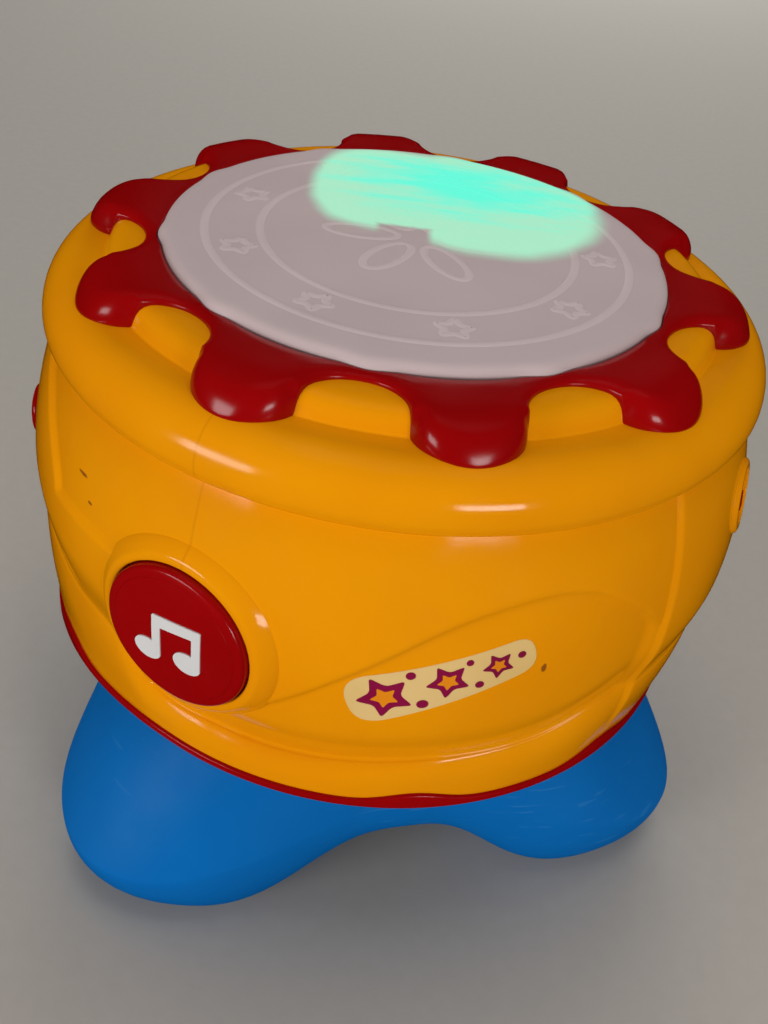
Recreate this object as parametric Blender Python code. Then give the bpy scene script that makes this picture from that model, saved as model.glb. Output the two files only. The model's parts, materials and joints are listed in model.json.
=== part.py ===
"""Toy drum with a lit drum head on a three-footed stand, built piece by piece.

Metres, +Z up.  Azimuths are measured about the drum's axis from the front (-Y) towards +X.
"""
import bmesh
import bpy
from math import atan2
from math import cos
from math import hypot
from math import pi
from math import radians
from math import sin
from math import sqrt
from mathutils import Matrix
from mathutils import Vector

# Clearances
SEAT_GAP = 0.0003
SLIDE_GAP = 0.0004
SCREW_GAP = 0.0003

# Overall sizes
BARREL_RADIUS = 0.1094
SHELL_HEIGHT = 0.1185
STAND_HEIGHT = 0.0808
HEAD_RADIUS = 0.0727

# Body shell
SHELL_WALL = 0.0026
BULGE = 0.0080
WALL_FOOT_HEIGHT = 0.0100
FLANGE_SET_BACK = 0.0081
FLANGE_SWELL = 0.0042
BEAD_SET_BACK = 0.0039
BEAD_DEPTH = 0.0240
BEAD_CROWN = 0.0065
BEAD_UPPER = 0.0115
BEAD_LOWER = 0.0065
BEAD_TUCK = radians(62.0)
STEP_HEIGHT = 0.0060
STEP_RUN = 0.0020
PLATEAU_WIDTH = 0.0110
COLUMN_AZIMUTHS = (radians(-85.0), radians(72.0))
COLUMN_HALF_WIDTH = radians(26.0)
COLUMN_PROUD = 0.0012
SHELL_STEPS = 40

# Crown of red lobes round the head
LOBE_COUNT = 10
LOBE_AZIMUTH = radians(10.7)
LOBE_HALF_WIDTH = 0.0140
LOBE_DEPTH = 0.0105
LOBE_CENTRE_OUT = 0.0135
ARCH_OUT = 0.0043
ARCH_LEAD = 0.0057
ARCH_SHOULDER = 0.0068
CROWN_THICK = 0.0026
CROWN_EDGE = 0.0035
PEG_RADIUS = 0.0022
PEG_LENGTH = 0.0036

# Drum head
HEAD_WALL = 0.0022
HEAD_PROUD = 0.0014
HEAD_DOME = 0.0006
HEAD_EDGE_ROUND = 0.0026
HEAD_TRAVEL = 0.0020
BUMP_OUT = 0.0018
BUMP_HALF_WIDTH = radians(8.5)
HEAD_FLANGE_WIDTH = 0.0060
HEAD_FLANGE_THICK = 0.0020
OPENING_MARGIN = 0.0012
HEAD_POST_RADIUS = 0.0030

# Light chamber under the head
CHAMBER_WALL = 0.0016
CHAMBER_DEPTH = 0.0290
CHAMBER_FLOOR = 0.0020
CHAMBER_FLANGE_THICK = 0.0025
CHAMBER_FLANGE_DROP = 0.0107
SECTOR_COUNT = 3
SECTOR_AZIMUTH = radians(43.0)
HUB_WALL = 0.0018
HUB_GAP = 0.0015
EAR_WIDTH = 0.0100
EAR_SCREW_IN = 0.0130
SPRING_RADIUS = 0.0026
SPRING_WIRE = 0.0004
SPRING_TURNS = 4

# Main board and lamps
BOARD_RADIUS = 0.0480
BOARD_THICK = 0.0016
BOARD_STANDOFF = 0.0030
BOARD_SCREW_RING = 0.0410
LED_RADIUS = 0.0025
LED_LENGTH = 0.0092
LED_RING = 0.0360
TACT_SIZE = 0.0060
TACT_HEIGHT = 0.0036
TACT_PLUNGER = 0.0018

# Music button on the front, side button on the left column
MUSIC_AZIMUTH = radians(-26.5)
MUSIC_BELOW_MID = 0.0020
MUSIC_RADIUS = 0.0217
SIDE_AZIMUTH = radians(-86.0)
SIDE_ABOVE_MID = 0.0010
SIDE_RADIUS = 0.0080
BUTTON_TRAVEL = 0.0020
BUTTON_PROUD = 0.0022
BUTTON_DOME = 0.0010
BUTTON_FLANGE = 0.0024
BUTTON_FLANGE_THICK = 0.0020
BUTTON_DEPTH = 0.0055
COLLAR_WALL = 0.0016
COLLAR_PROUD = 0.0006
SLEEVE_DEPTH = 0.0165
PAD_RADIUS = 0.0040

# Power slider in a round bezel on the right column
SLIDER_AZIMUTH = radians(70.0)
SLIDER_ABOVE_MID = 0.0220
BEZEL_RADIUS = 0.0105
BEZEL_RIM = 0.0022
BEZEL_PROUD = 0.0008
BEZEL_RECESS = 0.0028
KNOB_LENGTH = 0.0050
KNOB_HEIGHT = 0.0064
KNOB_OUT = 0.0024
STEM_LENGTH = 0.0038
STEM_HEIGHT = 0.0036
STEM_REACH = 0.0026
SLIDER_TRAVEL = 0.0050
SWITCH_LENGTH = 0.0160
SWITCH_HEIGHT = 0.0080
SWITCH_DEPTH = 0.0060

# Floor pan between the shell and the stand
PAN_FLOOR = 0.0024
PAN_RIM_HEIGHT = 0.0041
PAN_WAVE = 0.0024
PAN_LEVEL = radians(32)
PAN_LIP_WALL = 0.0018
PAN_LIP_HEIGHT = 0.0080
WIRE_HOLE_RADIUS = 0.0040
WIRE_HOLE_RING = 0.0430
SPEAKER_RADIUS = 0.0285
SPEAKER_FLANGE = 0.0012
SPEAKER_HEIGHT = 0.0125
MAGNET_RADIUS = 0.0135
MAGNET_HEIGHT = 0.0085
CONE_THICK = 0.0007
SPEAKER_BOSS_RADIUS = 0.0030
SPEAKER_SCREW_HEAD = 0.0056

# Three-footed stand
FOOT_COUNT = 3
FOOT_AZIMUTH = radians(-43.5)
FOOT_REACH = 0.1226
FOOT_BELLY_HEIGHT = 0.0223
FOOT_ROUND = 0.0236
WAIST_RADIUS = 0.0774
WAIST_ROUND = 0.0090
ARCH_HEIGHT = 0.0300
NECK_RADIUS = 0.0794
NECK_SLOPE = 1.75
STAND_WALL = 0.0026
PLATE_EDGE_GAP = 0.0006
FOOT_FULLNESS = 1.33
SOLE_FROM = -0.09
SOLE_TO = 0.78
PLATE_RADIUS = 0.0470
PLATE_RAMP = 0.0080
POST_RING = 0.0690
POST_RADIUS = 0.0055
PAN_BOSS_HEIGHT = 0.0090
SHELL_BOSS_RING = 0.0890
POST_BORE = 0.0036
POST_BORE_TOP = 0.0165
SCREW_RADIUS = 0.0015
SCREW_HEAD_RADIUS = 0.0028
SCREW_HEAD_THICK = 0.0020
BOSS_RADIUS = 0.0042
BOSS_HEIGHT = 0.0150
RIB_WIDTH = 0.0040
STAND_STEPS = 42

# Battery box in the middle of the stand
CELL_RADIUS = 0.0071
CELL_LENGTH = 0.0500
CELL_COUNT = 3
CELL_GAP = 0.0006
CONTACT_THICK = 0.0005
CONTACT_SPRING = 0.0026
BOX_WALL = 0.0025
BOX_ROOF = 0.0020
BOX_BOSS = 0.0110
DOOR_LEDGE = 0.0015
SOUND_HOLE_RADIUS = 0.0016
SOUND_HOLE_COUNT = 12

# Leads inside
LEAD_RADIUS = 0.0010

# Heights worked out from the sizes above
PAN_BOTTOM = STAND_HEIGHT + SEAT_GAP
PAN_TOP = PAN_BOTTOM + PAN_FLOOR
SHELL_BOTTOM = PAN_BOTTOM + PAN_RIM_HEIGHT + SEAT_GAP
DECK_Z = SHELL_BOTTOM + SHELL_HEIGHT
DECK_UNDER = DECK_Z - SHELL_WALL
RIM_Z = DECK_Z - STEP_HEIGHT
RIM_UNDER = RIM_Z - SHELL_WALL
TUCK_Z = DECK_Z - BEAD_DEPTH
WALL_LOW = SHELL_BOTTOM + WALL_FOOT_HEIGHT
WALL_MID = (WALL_LOW + TUCK_Z) / 2
WALL_HALF = (TUCK_Z - WALL_LOW) / 2
HEAD_EDGE_Z = DECK_Z + CROWN_THICK
HEAD_TOP = HEAD_EDGE_Z + HEAD_PROUD
HEAD_FLANGE_TOP = DECK_UNDER - SEAT_GAP
HEAD_FLANGE_LOW = HEAD_FLANGE_TOP - HEAD_FLANGE_THICK
CHAMBER_FLANGE_Z = HEAD_FLANGE_LOW - CHAMBER_FLANGE_DROP
CHAMBER_TOP = HEAD_TOP - HEAD_WALL - HEAD_TRAVEL - 0.0015
CHAMBER_BASE = CHAMBER_TOP - CHAMBER_DEPTH
BOARD_TOP = CHAMBER_BASE - BOARD_STANDOFF
BOARD_LOW = BOARD_TOP - BOARD_THICK
TACT_TOP = BOARD_TOP + SEAT_GAP + TACT_HEIGHT + TACT_PLUNGER
HEAD_POST_END = TACT_TOP + HEAD_TRAVEL + SEAT_GAP
PLATE_TOP = ARCH_HEIGHT + STAND_WALL

# Radii worked out from the sizes above
FLANGE_RADIUS = BARREL_RADIUS - FLANGE_SET_BACK
BEAD_RADIUS = BARREL_RADIUS - BEAD_SET_BACK
OPENING_RADIUS = HEAD_RADIUS + BUMP_OUT + OPENING_MARGIN
PLATEAU_RADIUS = OPENING_RADIUS + PLATEAU_WIDTH
STEP_RADIUS = PLATEAU_RADIUS + STEP_RUN
HEAD_INNER = HEAD_RADIUS - HEAD_WALL
HEAD_FLANGE_RADIUS = OPENING_RADIUS + HEAD_FLANGE_WIDTH
CHAMBER_RADIUS = HEAD_INNER - HEAD_TRAVEL / 2
SPRING_RING = (OPENING_RADIUS + HEAD_FLANGE_RADIUS) / 2
CHAMBER_FLANGE_RADIUS = HEAD_FLANGE_RADIUS + OPENING_MARGIN
EAR_RING = BEAD_RADIUS - EAR_SCREW_IN
HUB_BORE = HEAD_POST_RADIUS + HUB_GAP
HUB_RADIUS = HUB_BORE + HUB_WALL
PAN_RADIUS = FLANGE_RADIUS - SEAT_GAP
PAN_RIM_WIDTH = SHELL_WALL
PAN_LIP_RADIUS = FLANGE_RADIUS - SHELL_WALL - SLIDE_GAP

YELLOW = ("yellow_plastic", (0.93, 0.52, 0.01), 0.25)
RED = ("red_plastic", (0.50, 0.004, 0.008), 0.22)
BLUE = ("blue_plastic", (0.010, 0.17, 0.52), 0.30)
HEAD_WHITE = ("head_plastic", (0.72, 0.70, 0.70), 0.45)
WHITE = ("white_plastic", (0.85, 0.85, 0.83), 0.40)
BLACK = ("black_plastic", (0.03, 0.03, 0.03), 0.45)
BOARD_GREEN = ("board_green", (0.02, 0.22, 0.08), 0.40)
LAMP = ("lamp_resin", (0.70, 0.95, 0.88), 0.10)
RUBBER = ("rubber_grey", (0.20, 0.20, 0.20), 0.75)
PAPER = ("cone_paper", (0.05, 0.05, 0.05), 0.85)
CELL_JACKET = ("cell_jacket", (0.10, 0.28, 0.12), 0.35)
STEEL = ("bright_steel", (0.62, 0.62, 0.62), 0.30)
LEAD_JACKET = ("lead_jacket", (0.45, 0.03, 0.03), 0.50)


def material(finish):
    """Principled material for a finish, made once and shared."""
    name, colour, roughness = finish
    made = bpy.data.materials.get(name)
    if made is None:
        made = bpy.data.materials.new(name)
        made.use_nodes = True
        shader = made.node_tree.nodes["Principled BSDF"]
        shader.inputs["Base Color"].default_value = (*colour, 1.0)
        shader.inputs["Roughness"].default_value = roughness
        shader.inputs["Metallic"].default_value = 1.0 if finish is STEEL else 0.0
    return made


def add_object(name, bm, place=None):
    """Put a finished bmesh into the scene under the drum's frame empty."""
    bmesh.ops.remove_doubles(bm, verts=bm.verts, dist=1e-7)
    bmesh.ops.recalc_face_normals(bm, faces=bm.faces)
    mesh = bpy.data.meshes.new(name)
    bm.to_mesh(mesh)
    bm.free()
    mesh.shade_smooth()
    mesh.set_sharp_from_angle(angle=radians(35))
    made = bpy.data.objects.new(name, mesh)
    bpy.context.collection.objects.link(made)
    made.parent = FRAME
    if place is not None:
        made.matrix_local = place
    return made


def piece(name, bm, finish, place=None):
    """A named sub-part with its material."""
    made = add_object(name, bm, place)
    made.data.materials.append(material(finish))
    return made


def shape(target, operation, bm, place=None):
    """Join a tool to a sub-part, or cut it away, with a Boolean modifier."""
    tool = add_object(f"{target.name}_{operation.lower()}_tool", bm, place)
    tool.hide_render = True
    tool.display_type = "WIRE"
    change = target.modifiers.new(operation.title(), "BOOLEAN")
    change.operation = operation
    change.object = tool
    change.solver = "EXACT"


def loft(rings):
    """Skin a list of rings; a ring of one point is a pole, and the skin is closed end to end."""
    bm = bmesh.new()
    rows = [[bm.verts.new(point) for point in ring] for ring in rings]
    if len(rows[0]) > 1 and len(rows[-1]) > 1:
        rows.append(rows[0])
    for low, high in zip(rows, rows[1:]):
        count = max(len(low), len(high))
        for i in range(count):
            j = (i + 1) % count
            corners = [low[i % len(low)], low[j % len(low)], high[j % len(high)], high[i % len(high)]]
            bm.faces.new(list(dict.fromkeys(corners)))
    return bm


def turned(profile, steps=24):
    """Solid of revolution about Z from a (radius, height) outline, closed on the axis or on itself."""
    bm = bmesh.new()
    points = [bm.verts.new((r, 0.0, z)) for r, z in profile]
    edges = [bm.edges.new(pair) for pair in zip(points, points[1:])]
    if profile[0][0] > 0.0 or profile[-1][0] > 0.0:
        edges.append(bm.edges.new((points[-1], points[0])))
    bmesh.ops.spin(
        bm, geom=points + edges, cent=(0, 0, 0), axis=(0, 0, 1), angle=2 * pi, steps=steps, use_merge=True
    )
    bmesh.ops.remove_doubles(bm, verts=bm.verts, dist=1e-7)
    return bm


def rod(radius, low, high, steps=20):
    """Plain round rod along Z."""
    return turned([(0.0, low), (radius, low), (radius, high), (0.0, high)], steps)


def block(size, centre):
    """Plain block of a size (x, y, z) about a centre."""
    bm = bmesh.new()
    bmesh.ops.create_cube(bm, size=1.0)
    bmesh.ops.scale(bm, vec=size, verts=bm.verts)
    bmesh.ops.translate(bm, vec=centre, verts=bm.verts)
    return bm


def joined(*parts):
    """Several separate shapes in one bmesh; a part is a bmesh or a (bmesh, matrix) pair."""
    bm = bmesh.new()
    for part in parts:
        source, place = part if isinstance(part, tuple) else (part, Matrix())
        source.transform(place)
        moved = bpy.data.meshes.new("moved")
        source.to_mesh(moved)
        source.free()
        bm.from_mesh(moved)
        bpy.data.meshes.remove(moved)
    return bm


def outward(azimuth):
    """Unit vector from the axis at an azimuth."""
    return Vector((sin(azimuth), -cos(azimuth), 0.0))


def around(azimuth, radius, z):
    """Point at an azimuth, radius and height."""
    return outward(azimuth) * radius + Vector((0.0, 0.0, z))


def upright(azimuth, radius, z=0.0):
    """Frame with local X outward and local Z up."""
    turn = Matrix.Rotation(azimuth - pi / 2, 4, "Z")
    return Matrix.Translation(around(azimuth, radius, z)) @ turn


def facing(azimuth, z):
    """Frame on the axis with local Z outward, local Y up and local X to the right of a viewer."""
    out = outward(azimuth)
    right = Vector((0.0, 0.0, 1.0)).cross(out)
    turn = Matrix((right, (0.0, 0.0, 1.0), out)).transposed().to_4x4()
    return Matrix.Translation((0.0, 0.0, z)) @ turn


def smooth(value, low, high):
    """Smooth 0 to 1 step between two values."""
    t = min(max((value - low) / (high - low), 0.0), 1.0)
    return t * t * (3.0 - 2.0 * t)


def apart(a, b):
    """Angle between two azimuths."""
    return abs((a - b + pi) % (2 * pi) - pi)


def lobe_wave(azimuth):
    """1 at each lobe's azimuth, 0 between them."""
    return 0.5 + 0.5 * cos(LOBE_COUNT * (azimuth - LOBE_AZIMUTH))


def scallop(azimuth):
    """Height that the pan's wavy rim gains under each lobe; the rim stays level below the music button."""
    clear = smooth(apart(azimuth, MUSIC_AZIMUTH), PAN_LEVEL / 2, PAN_LEVEL)
    return PAN_WAVE * clear * lobe_wave(azimuth) ** 3


def column(azimuth):
    """How far the side columns lift the wall at an azimuth."""
    near = min(apart(azimuth, centre) for centre in COLUMN_AZIMUTHS)
    return COLUMN_PROUD * (1.0 - smooth(near, COLUMN_HALF_WIDTH - radians(3), COLUMN_HALF_WIDTH + radians(3)))


def swell(azimuth):
    """How far the foot flange flares out below the left column."""
    near = apart(azimuth, COLUMN_AZIMUTHS[0])
    return FLANGE_SWELL * (1.0 - smooth(near, radians(15), radians(55)))


def wall_radius(z, azimuth):
    """Outer radius of the barrel-shaped wall."""
    u = (z - WALL_MID) / WALL_HALF
    return BARREL_RADIUS - BULGE * u * u + column(azimuth)


def shell_outer(azimuth):
    """Outer profile of the body shell, from its lower edge up to the head opening."""
    lift = scallop(azimuth)
    foot = FLANGE_RADIUS + swell(azimuth)
    shoulder = SHELL_BOTTOM + WALL_FOOT_HEIGHT * 0.6
    profile = [(foot, SHELL_BOTTOM + lift), (foot, shoulder), (FLANGE_RADIUS, WALL_LOW)]
    wall_rows = 6
    for i in range(1, wall_rows + 1):
        z = WALL_LOW + (TUCK_Z - WALL_LOW) * i / wall_rows
        profile.append((wall_radius(z, azimuth), z))
    bead_rows = 5
    for i in range(bead_rows + 1):
        swing = -BEAD_TUCK + (BEAD_TUCK + pi / 2) * i / bead_rows
        r = BEAD_RADIUS - BEAD_CROWN + BEAD_CROWN * cos(swing)
        high = BEAD_UPPER if swing > 0.0 else BEAD_LOWER
        profile.append((r, RIM_Z - BEAD_UPPER + high * sin(swing)))
    profile.append((STEP_RADIUS, RIM_Z))
    profile.append((PLATEAU_RADIUS, DECK_Z))
    profile.append((OPENING_RADIUS, DECK_Z))
    return profile


def shell_inner(azimuth):
    """Inner profile of the body shell, from the head opening down to its lower edge."""
    inner_bead = BEAD_RADIUS - SHELL_WALL
    profile = [
        (OPENING_RADIUS, DECK_UNDER),
        (PLATEAU_RADIUS - SHELL_WALL / 2, DECK_UNDER),
        (STEP_RADIUS - SHELL_WALL / 2, RIM_UNDER),
        (inner_bead - BEAD_CROWN, RIM_UNDER),
        (inner_bead, (RIM_Z + TUCK_Z) / 2),
    ]
    wall_rows = 4
    for i in range(wall_rows + 1):
        z = TUCK_Z - SHELL_WALL + (WALL_LOW - TUCK_Z + SHELL_WALL) * i / wall_rows
        profile.append((wall_radius(z, azimuth) - SHELL_WALL - column(azimuth), z))
    profile.append((FLANGE_RADIUS - SHELL_WALL, WALL_LOW - SHELL_WALL))
    profile.append((FLANGE_RADIUS + swell(azimuth) - SHELL_WALL, SHELL_BOTTOM + WALL_FOOT_HEIGHT * 0.5))
    profile.append((FLANGE_RADIUS + swell(azimuth) - SHELL_WALL, SHELL_BOTTOM + scallop(azimuth)))
    return profile


def even(steps, start):
    """Evenly spaced azimuths."""
    return [start + 2 * pi * i / steps for i in range(steps)]


def polar_loft(profile_at, azimuths):
    """Loft a closed (radius, height) profile that changes with azimuth."""
    columns = [profile_at(azimuth) for azimuth in azimuths]
    rings = []
    for row in range(len(columns[0])):
        if columns[0][row][0] == 0.0:
            rings.append([(0.0, 0.0, columns[0][row][1])])
        else:
            rings.append([around(a, *side[row]) for a, side in zip(azimuths, columns)])
    return loft(rings)


def foot_azimuths():
    """Azimuth of each foot."""
    return [FOOT_AZIMUTH + 2 * pi * i / FOOT_COUNT for i in range(FOOT_COUNT)]


def waist_azimuths():
    """Azimuth of each waist between two feet."""
    return [azimuth + pi / FOOT_COUNT for azimuth in foot_azimuths()]


def sector_azimuths():
    """Azimuth of the middle of each light sector."""
    return [SECTOR_AZIMUTH + 2 * pi * i / SECTOR_COUNT for i in range(SECTOR_COUNT)]


# The frame that carries every piece; its place is set at the end
for old in list(bpy.data.objects):
    bpy.data.objects.remove(old, do_unlink=True)
FRAME = bpy.data.objects.new("drum_frame", None)
bpy.context.collection.objects.link(FRAME)


def button_levels(azimuth, z):
    """Distances from the axis, along a button's own axis, at which its parts lie."""
    collar = wall_radius(z, azimuth) + COLLAR_PROUD
    rim = collar + BUTTON_PROUD
    flange_top = rim - BUTTON_DEPTH
    sleeve_end = collar - SLEEVE_DEPTH
    return collar, rim, flange_top, sleeve_end


def button_sleeve(radius, azimuth, z):
    """Collar and guide sleeve that stand on the shell round a button."""
    collar, rim, flange_top, sleeve_end = button_levels(azimuth, z)
    outer = radius + SLIDE_GAP + BUTTON_FLANGE + COLLAR_WALL
    return rod(outer, sleeve_end, collar, 32)


def button_bore(radius, azimuth, z):
    """Bore of a button's sleeve: a guide at the collar and a wider bore behind its ledge."""
    collar, rim, flange_top, sleeve_end = button_levels(azimuth, z)
    guide = radius + SLIDE_GAP
    ledge = flange_top + SEAT_GAP
    wide = guide + BUTTON_FLANGE
    past = SHELL_WALL
    profile = [(0.0, collar + past), (guide, collar + past), (guide, ledge), (wide, ledge)]
    return turned(profile + [(wide, sleeve_end - past), (0.0, sleeve_end - past)], 32)


def make_button(name, radius, azimuth, z):
    """Push button with its retaining flange, its switch board and its rubber pad."""
    collar, rim, flange_top, sleeve_end = button_levels(azimuth, z)
    flange = radius + BUTTON_FLANGE - SLIDE_GAP
    flange_low = flange_top - BUTTON_FLANGE_THICK
    edge = 0.0008
    place = facing(azimuth, z)
    board_top = sleeve_end - SEAT_GAP
    pad_high = (flange_low - board_top) * 0.35
    stem_low = board_top + pad_high + BUTTON_TRAVEL + 2 * SEAT_GAP
    profile = [
        (0.0, rim + BUTTON_DOME),
        (radius * 0.6, rim + BUTTON_DOME * 0.66),
        (radius - edge, rim),
        (radius, rim - edge),
        (radius, flange_top),
        (flange, flange_top),
        (flange, flange_low),
        (PAD_RADIUS, flange_low),
        (PAD_RADIUS, stem_low),
        (0.0, stem_low),
    ]
    piece(f"{name}_button", turned(profile, 32), RED, place)
    sleeve_outer = radius + SLIDE_GAP + BUTTON_FLANGE + COLLAR_WALL
    board = rod(sleeve_outer, board_top - BOARD_THICK, board_top, 24)
    piece(f"{name}_switch_board", board, BOARD_GREEN, place)
    pad_low = board_top + SEAT_GAP
    pad_top = pad_low + pad_high
    pad = [(0.0, pad_low), (PAD_RADIUS, pad_low), (PAD_RADIUS * 0.7, pad_top), (0.0, pad_top)]
    piece(f"{name}_switch_pad", turned(pad, 16), RUBBER, place)
    return around(azimuth, board_top - BOARD_THICK - SEAT_GAP, z)


MUSIC_Z = WALL_MID - MUSIC_BELOW_MID
SIDE_Z = WALL_MID + SIDE_ABOVE_MID
SLIDER_Z = WALL_MID + SLIDER_ABOVE_MID
SLIDER_WALL = wall_radius(SLIDER_Z, SLIDER_AZIMUTH)
SLIDER_TILT = atan2(2 * BULGE * SLIDER_ABOVE_MID, WALL_HALF**2)
BEZEL_BED = BEZEL_PROUD - BEZEL_RECESS
SWITCH_SAG = (SWITCH_LENGTH / 2) ** 2 / SLIDER_WALL
BEZEL_BACK = -(SHELL_WALL + COLUMN_PROUD + SWITCH_SAG + SEAT_GAP)


def slider_place():
    """Frame on the right column: local Z along the wall's normal, local X along the slider's travel."""
    at = Matrix.Translation(outward(SLIDER_AZIMUTH) * SLIDER_WALL)
    return at @ facing(SLIDER_AZIMUTH, SLIDER_Z) @ Matrix.Rotation(-SLIDER_TILT, 4, "X")


def make_body_shell():
    """Yellow barrel with its rolled bead, deck, button sleeves and screw bosses."""

    def profile(azimuth):
        return shell_outer(azimuth) + shell_inner(azimuth)

    shell = piece("body_shell", polar_loft(profile, even(SHELL_STEPS, LOBE_AZIMUTH)), YELLOW)
    sleeves = joined(
        (button_sleeve(MUSIC_RADIUS, MUSIC_AZIMUTH, MUSIC_Z), facing(MUSIC_AZIMUTH, MUSIC_Z)),
        (button_sleeve(SIDE_RADIUS, SIDE_AZIMUTH, SIDE_Z), facing(SIDE_AZIMUTH, SIDE_Z)),
        (rod(BEZEL_RADIUS, BEZEL_BACK, BEZEL_PROUD, 24), slider_place()),
    )
    shape(shell, "UNION", sleeves)
    boss_low = PAN_TOP + SEAT_GAP
    bosses = [
        (rod(BOSS_RADIUS, boss_low, boss_low + BOSS_HEIGHT), upright(a, SHELL_BOSS_RING))
        for a in waist_azimuths()
    ]
    hang = [
        (rod(BOSS_RADIUS, CHAMBER_FLANGE_Z + SEAT_GAP, RIM_UNDER + SHELL_WALL / 2), upright(a, EAR_RING))
        for a in sector_azimuths()
    ]
    shape(shell, "UNION", joined(*bosses, *hang))
    rib_end = FLANGE_RADIUS - SHELL_WALL / 2
    rib_low = PAN_BOTTOM + PAN_LIP_HEIGHT + SEAT_GAP
    rib_high = boss_low + BOSS_HEIGHT
    rib_size = (rib_end - SHELL_BOSS_RING, RIB_WIDTH, rib_high - rib_low)
    rib_centre = ((rib_end + SHELL_BOSS_RING) / 2, 0.0, (rib_low + rib_high) / 2)
    shape(shell, "UNION", joined(*[(block(rib_size, rib_centre), upright(a, 0.0)) for a in waist_azimuths()]))
    slot_long = STEM_LENGTH + SLIDER_TRAVEL + 2 * SLIDE_GAP
    slot_size = (slot_long, STEM_HEIGHT + 2 * SLIDE_GAP, 2 * (BEZEL_BED - BEZEL_BACK))
    pilot = SCREW_RADIUS + SCREW_GAP
    cuts = [
        (button_bore(MUSIC_RADIUS, MUSIC_AZIMUTH, MUSIC_Z), facing(MUSIC_AZIMUTH, MUSIC_Z)),
        (button_bore(SIDE_RADIUS, SIDE_AZIMUTH, SIDE_Z), facing(SIDE_AZIMUTH, SIDE_Z)),
        (rod(BEZEL_RADIUS - BEZEL_RIM, BEZEL_BED, BEZEL_PROUD + BEZEL_RECESS, 20), slider_place()),
    ]
    for a in waist_azimuths():
        boss_pilot = rod(pilot, boss_low - BOSS_HEIGHT, boss_low + BOSS_HEIGHT * 0.85)
        cuts.append((boss_pilot, upright(a, SHELL_BOSS_RING)))
    for a in sector_azimuths():
        hang_pilot = rod(pilot, CHAMBER_FLANGE_Z - BOSS_HEIGHT, RIM_UNDER - SCREW_RADIUS / 2)
        cuts.append((hang_pilot, upright(a, EAR_RING)))
    for a in peg_azimuths():
        peg_hole = rod(PEG_RADIUS + SCREW_GAP, RIM_UNDER - STEP_HEIGHT, RIM_Z + STEP_HEIGHT / 2)
        cuts.append((peg_hole, upright(a, peg_ring())))
    shape(shell, "DIFFERENCE", joined(*cuts))
    slot = block(slot_size, (0.0, 0.0, (BEZEL_BED + BEZEL_BACK) / 2))
    shape(shell, "DIFFERENCE", slot, slider_place())


def peg_azimuths():
    """Every second lobe has a locating peg."""
    return [LOBE_AZIMUTH + 4 * pi * i / LOBE_COUNT for i in range(LOBE_COUNT // 2)]


def peg_ring():
    """Radius of the pegs, on the rim outside the step."""
    return STEP_RADIUS + PEG_RADIUS + 2 * SCREW_GAP


def bump(azimuth):
    """1 at each small bump of the head's edge, midway between two lobes."""
    pitch = 2 * pi / LOBE_COUNT
    near = (azimuth - LOBE_AZIMUTH) % pitch - pitch / 2
    return 0.5 + 0.5 * cos(pi * min(abs(near) / BUMP_HALF_WIDTH, 1.0))


def head_outline(azimuth, margin=0.0):
    """Radius of the drum head's bumpy outline."""
    return HEAD_RADIUS + BUMP_OUT * bump(azimuth) + margin


def crown_outline():
    """Outer outline of the crown: round-ended lobes that run into arches between them."""
    pitch = 2 * pi / LOBE_COUNT
    centre = HEAD_RADIUS + LOBE_CENTRE_OUT
    side = []
    lobe_rows = 4
    for i in range(lobe_rows + 1):
        swing = pi / 2 * i / lobe_rows
        side.append(Vector((LOBE_HALF_WIDTH * sin(swing), -centre - LOBE_DEPTH * cos(swing), 0.0)))
    start = side[-1]
    lead = start + Vector((0.0, ARCH_LEAD, 0.0))
    apex = outward(pitch / 2) * (HEAD_RADIUS + ARCH_OUT)
    shoulder = apex - Vector((cos(pitch / 2), sin(pitch / 2), 0.0)) * ARCH_SHOULDER
    arch_rows = 3
    for i in range(1, arch_rows + 1):
        t = i / arch_rows
        flank = start * (1 - t) ** 3 + lead * (3 * t * (1 - t) ** 2)
        side.append(flank + shoulder * (3 * t**2 * (1 - t)) + apex * t**3)
    one = [Vector((-p.x, p.y, 0.0)) for p in side[-2:0:-1]] + side
    points = []
    for i in range(LOBE_COUNT):
        turn_by = Matrix.Rotation(LOBE_AZIMUTH + i * pitch, 3, "Z")
        points.extend(turn_by @ p for p in one)
    return points


def crown_bed(radius):
    """Height of the deck under the crown, with the seat gap, from the opening over the step to the rim."""
    t = min(max((radius - PLATEAU_RADIUS - SEAT_GAP) / STEP_RUN, 0.0), 1.0)
    return DECK_Z + SEAT_GAP - STEP_HEIGHT * t


def crown_top(radius, inset):
    """Height of the crown's pillowed top."""
    fall = smooth(radius, PLATEAU_RADIUS - STEP_RUN, STEP_RADIUS + 2 * STEP_RUN)
    base = DECK_Z + SEAT_GAP - STEP_HEIGHT * fall
    t = 1.0 - min(inset / CROWN_EDGE, 1.0)
    low_edge = 0.35
    top = base + CROWN_THICK * (low_edge + (1.0 - low_edge) * sqrt(max(1.0 - t * t, 0.0)))
    return max(top, crown_bed(radius) + CROWN_THICK * low_edge)


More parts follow.
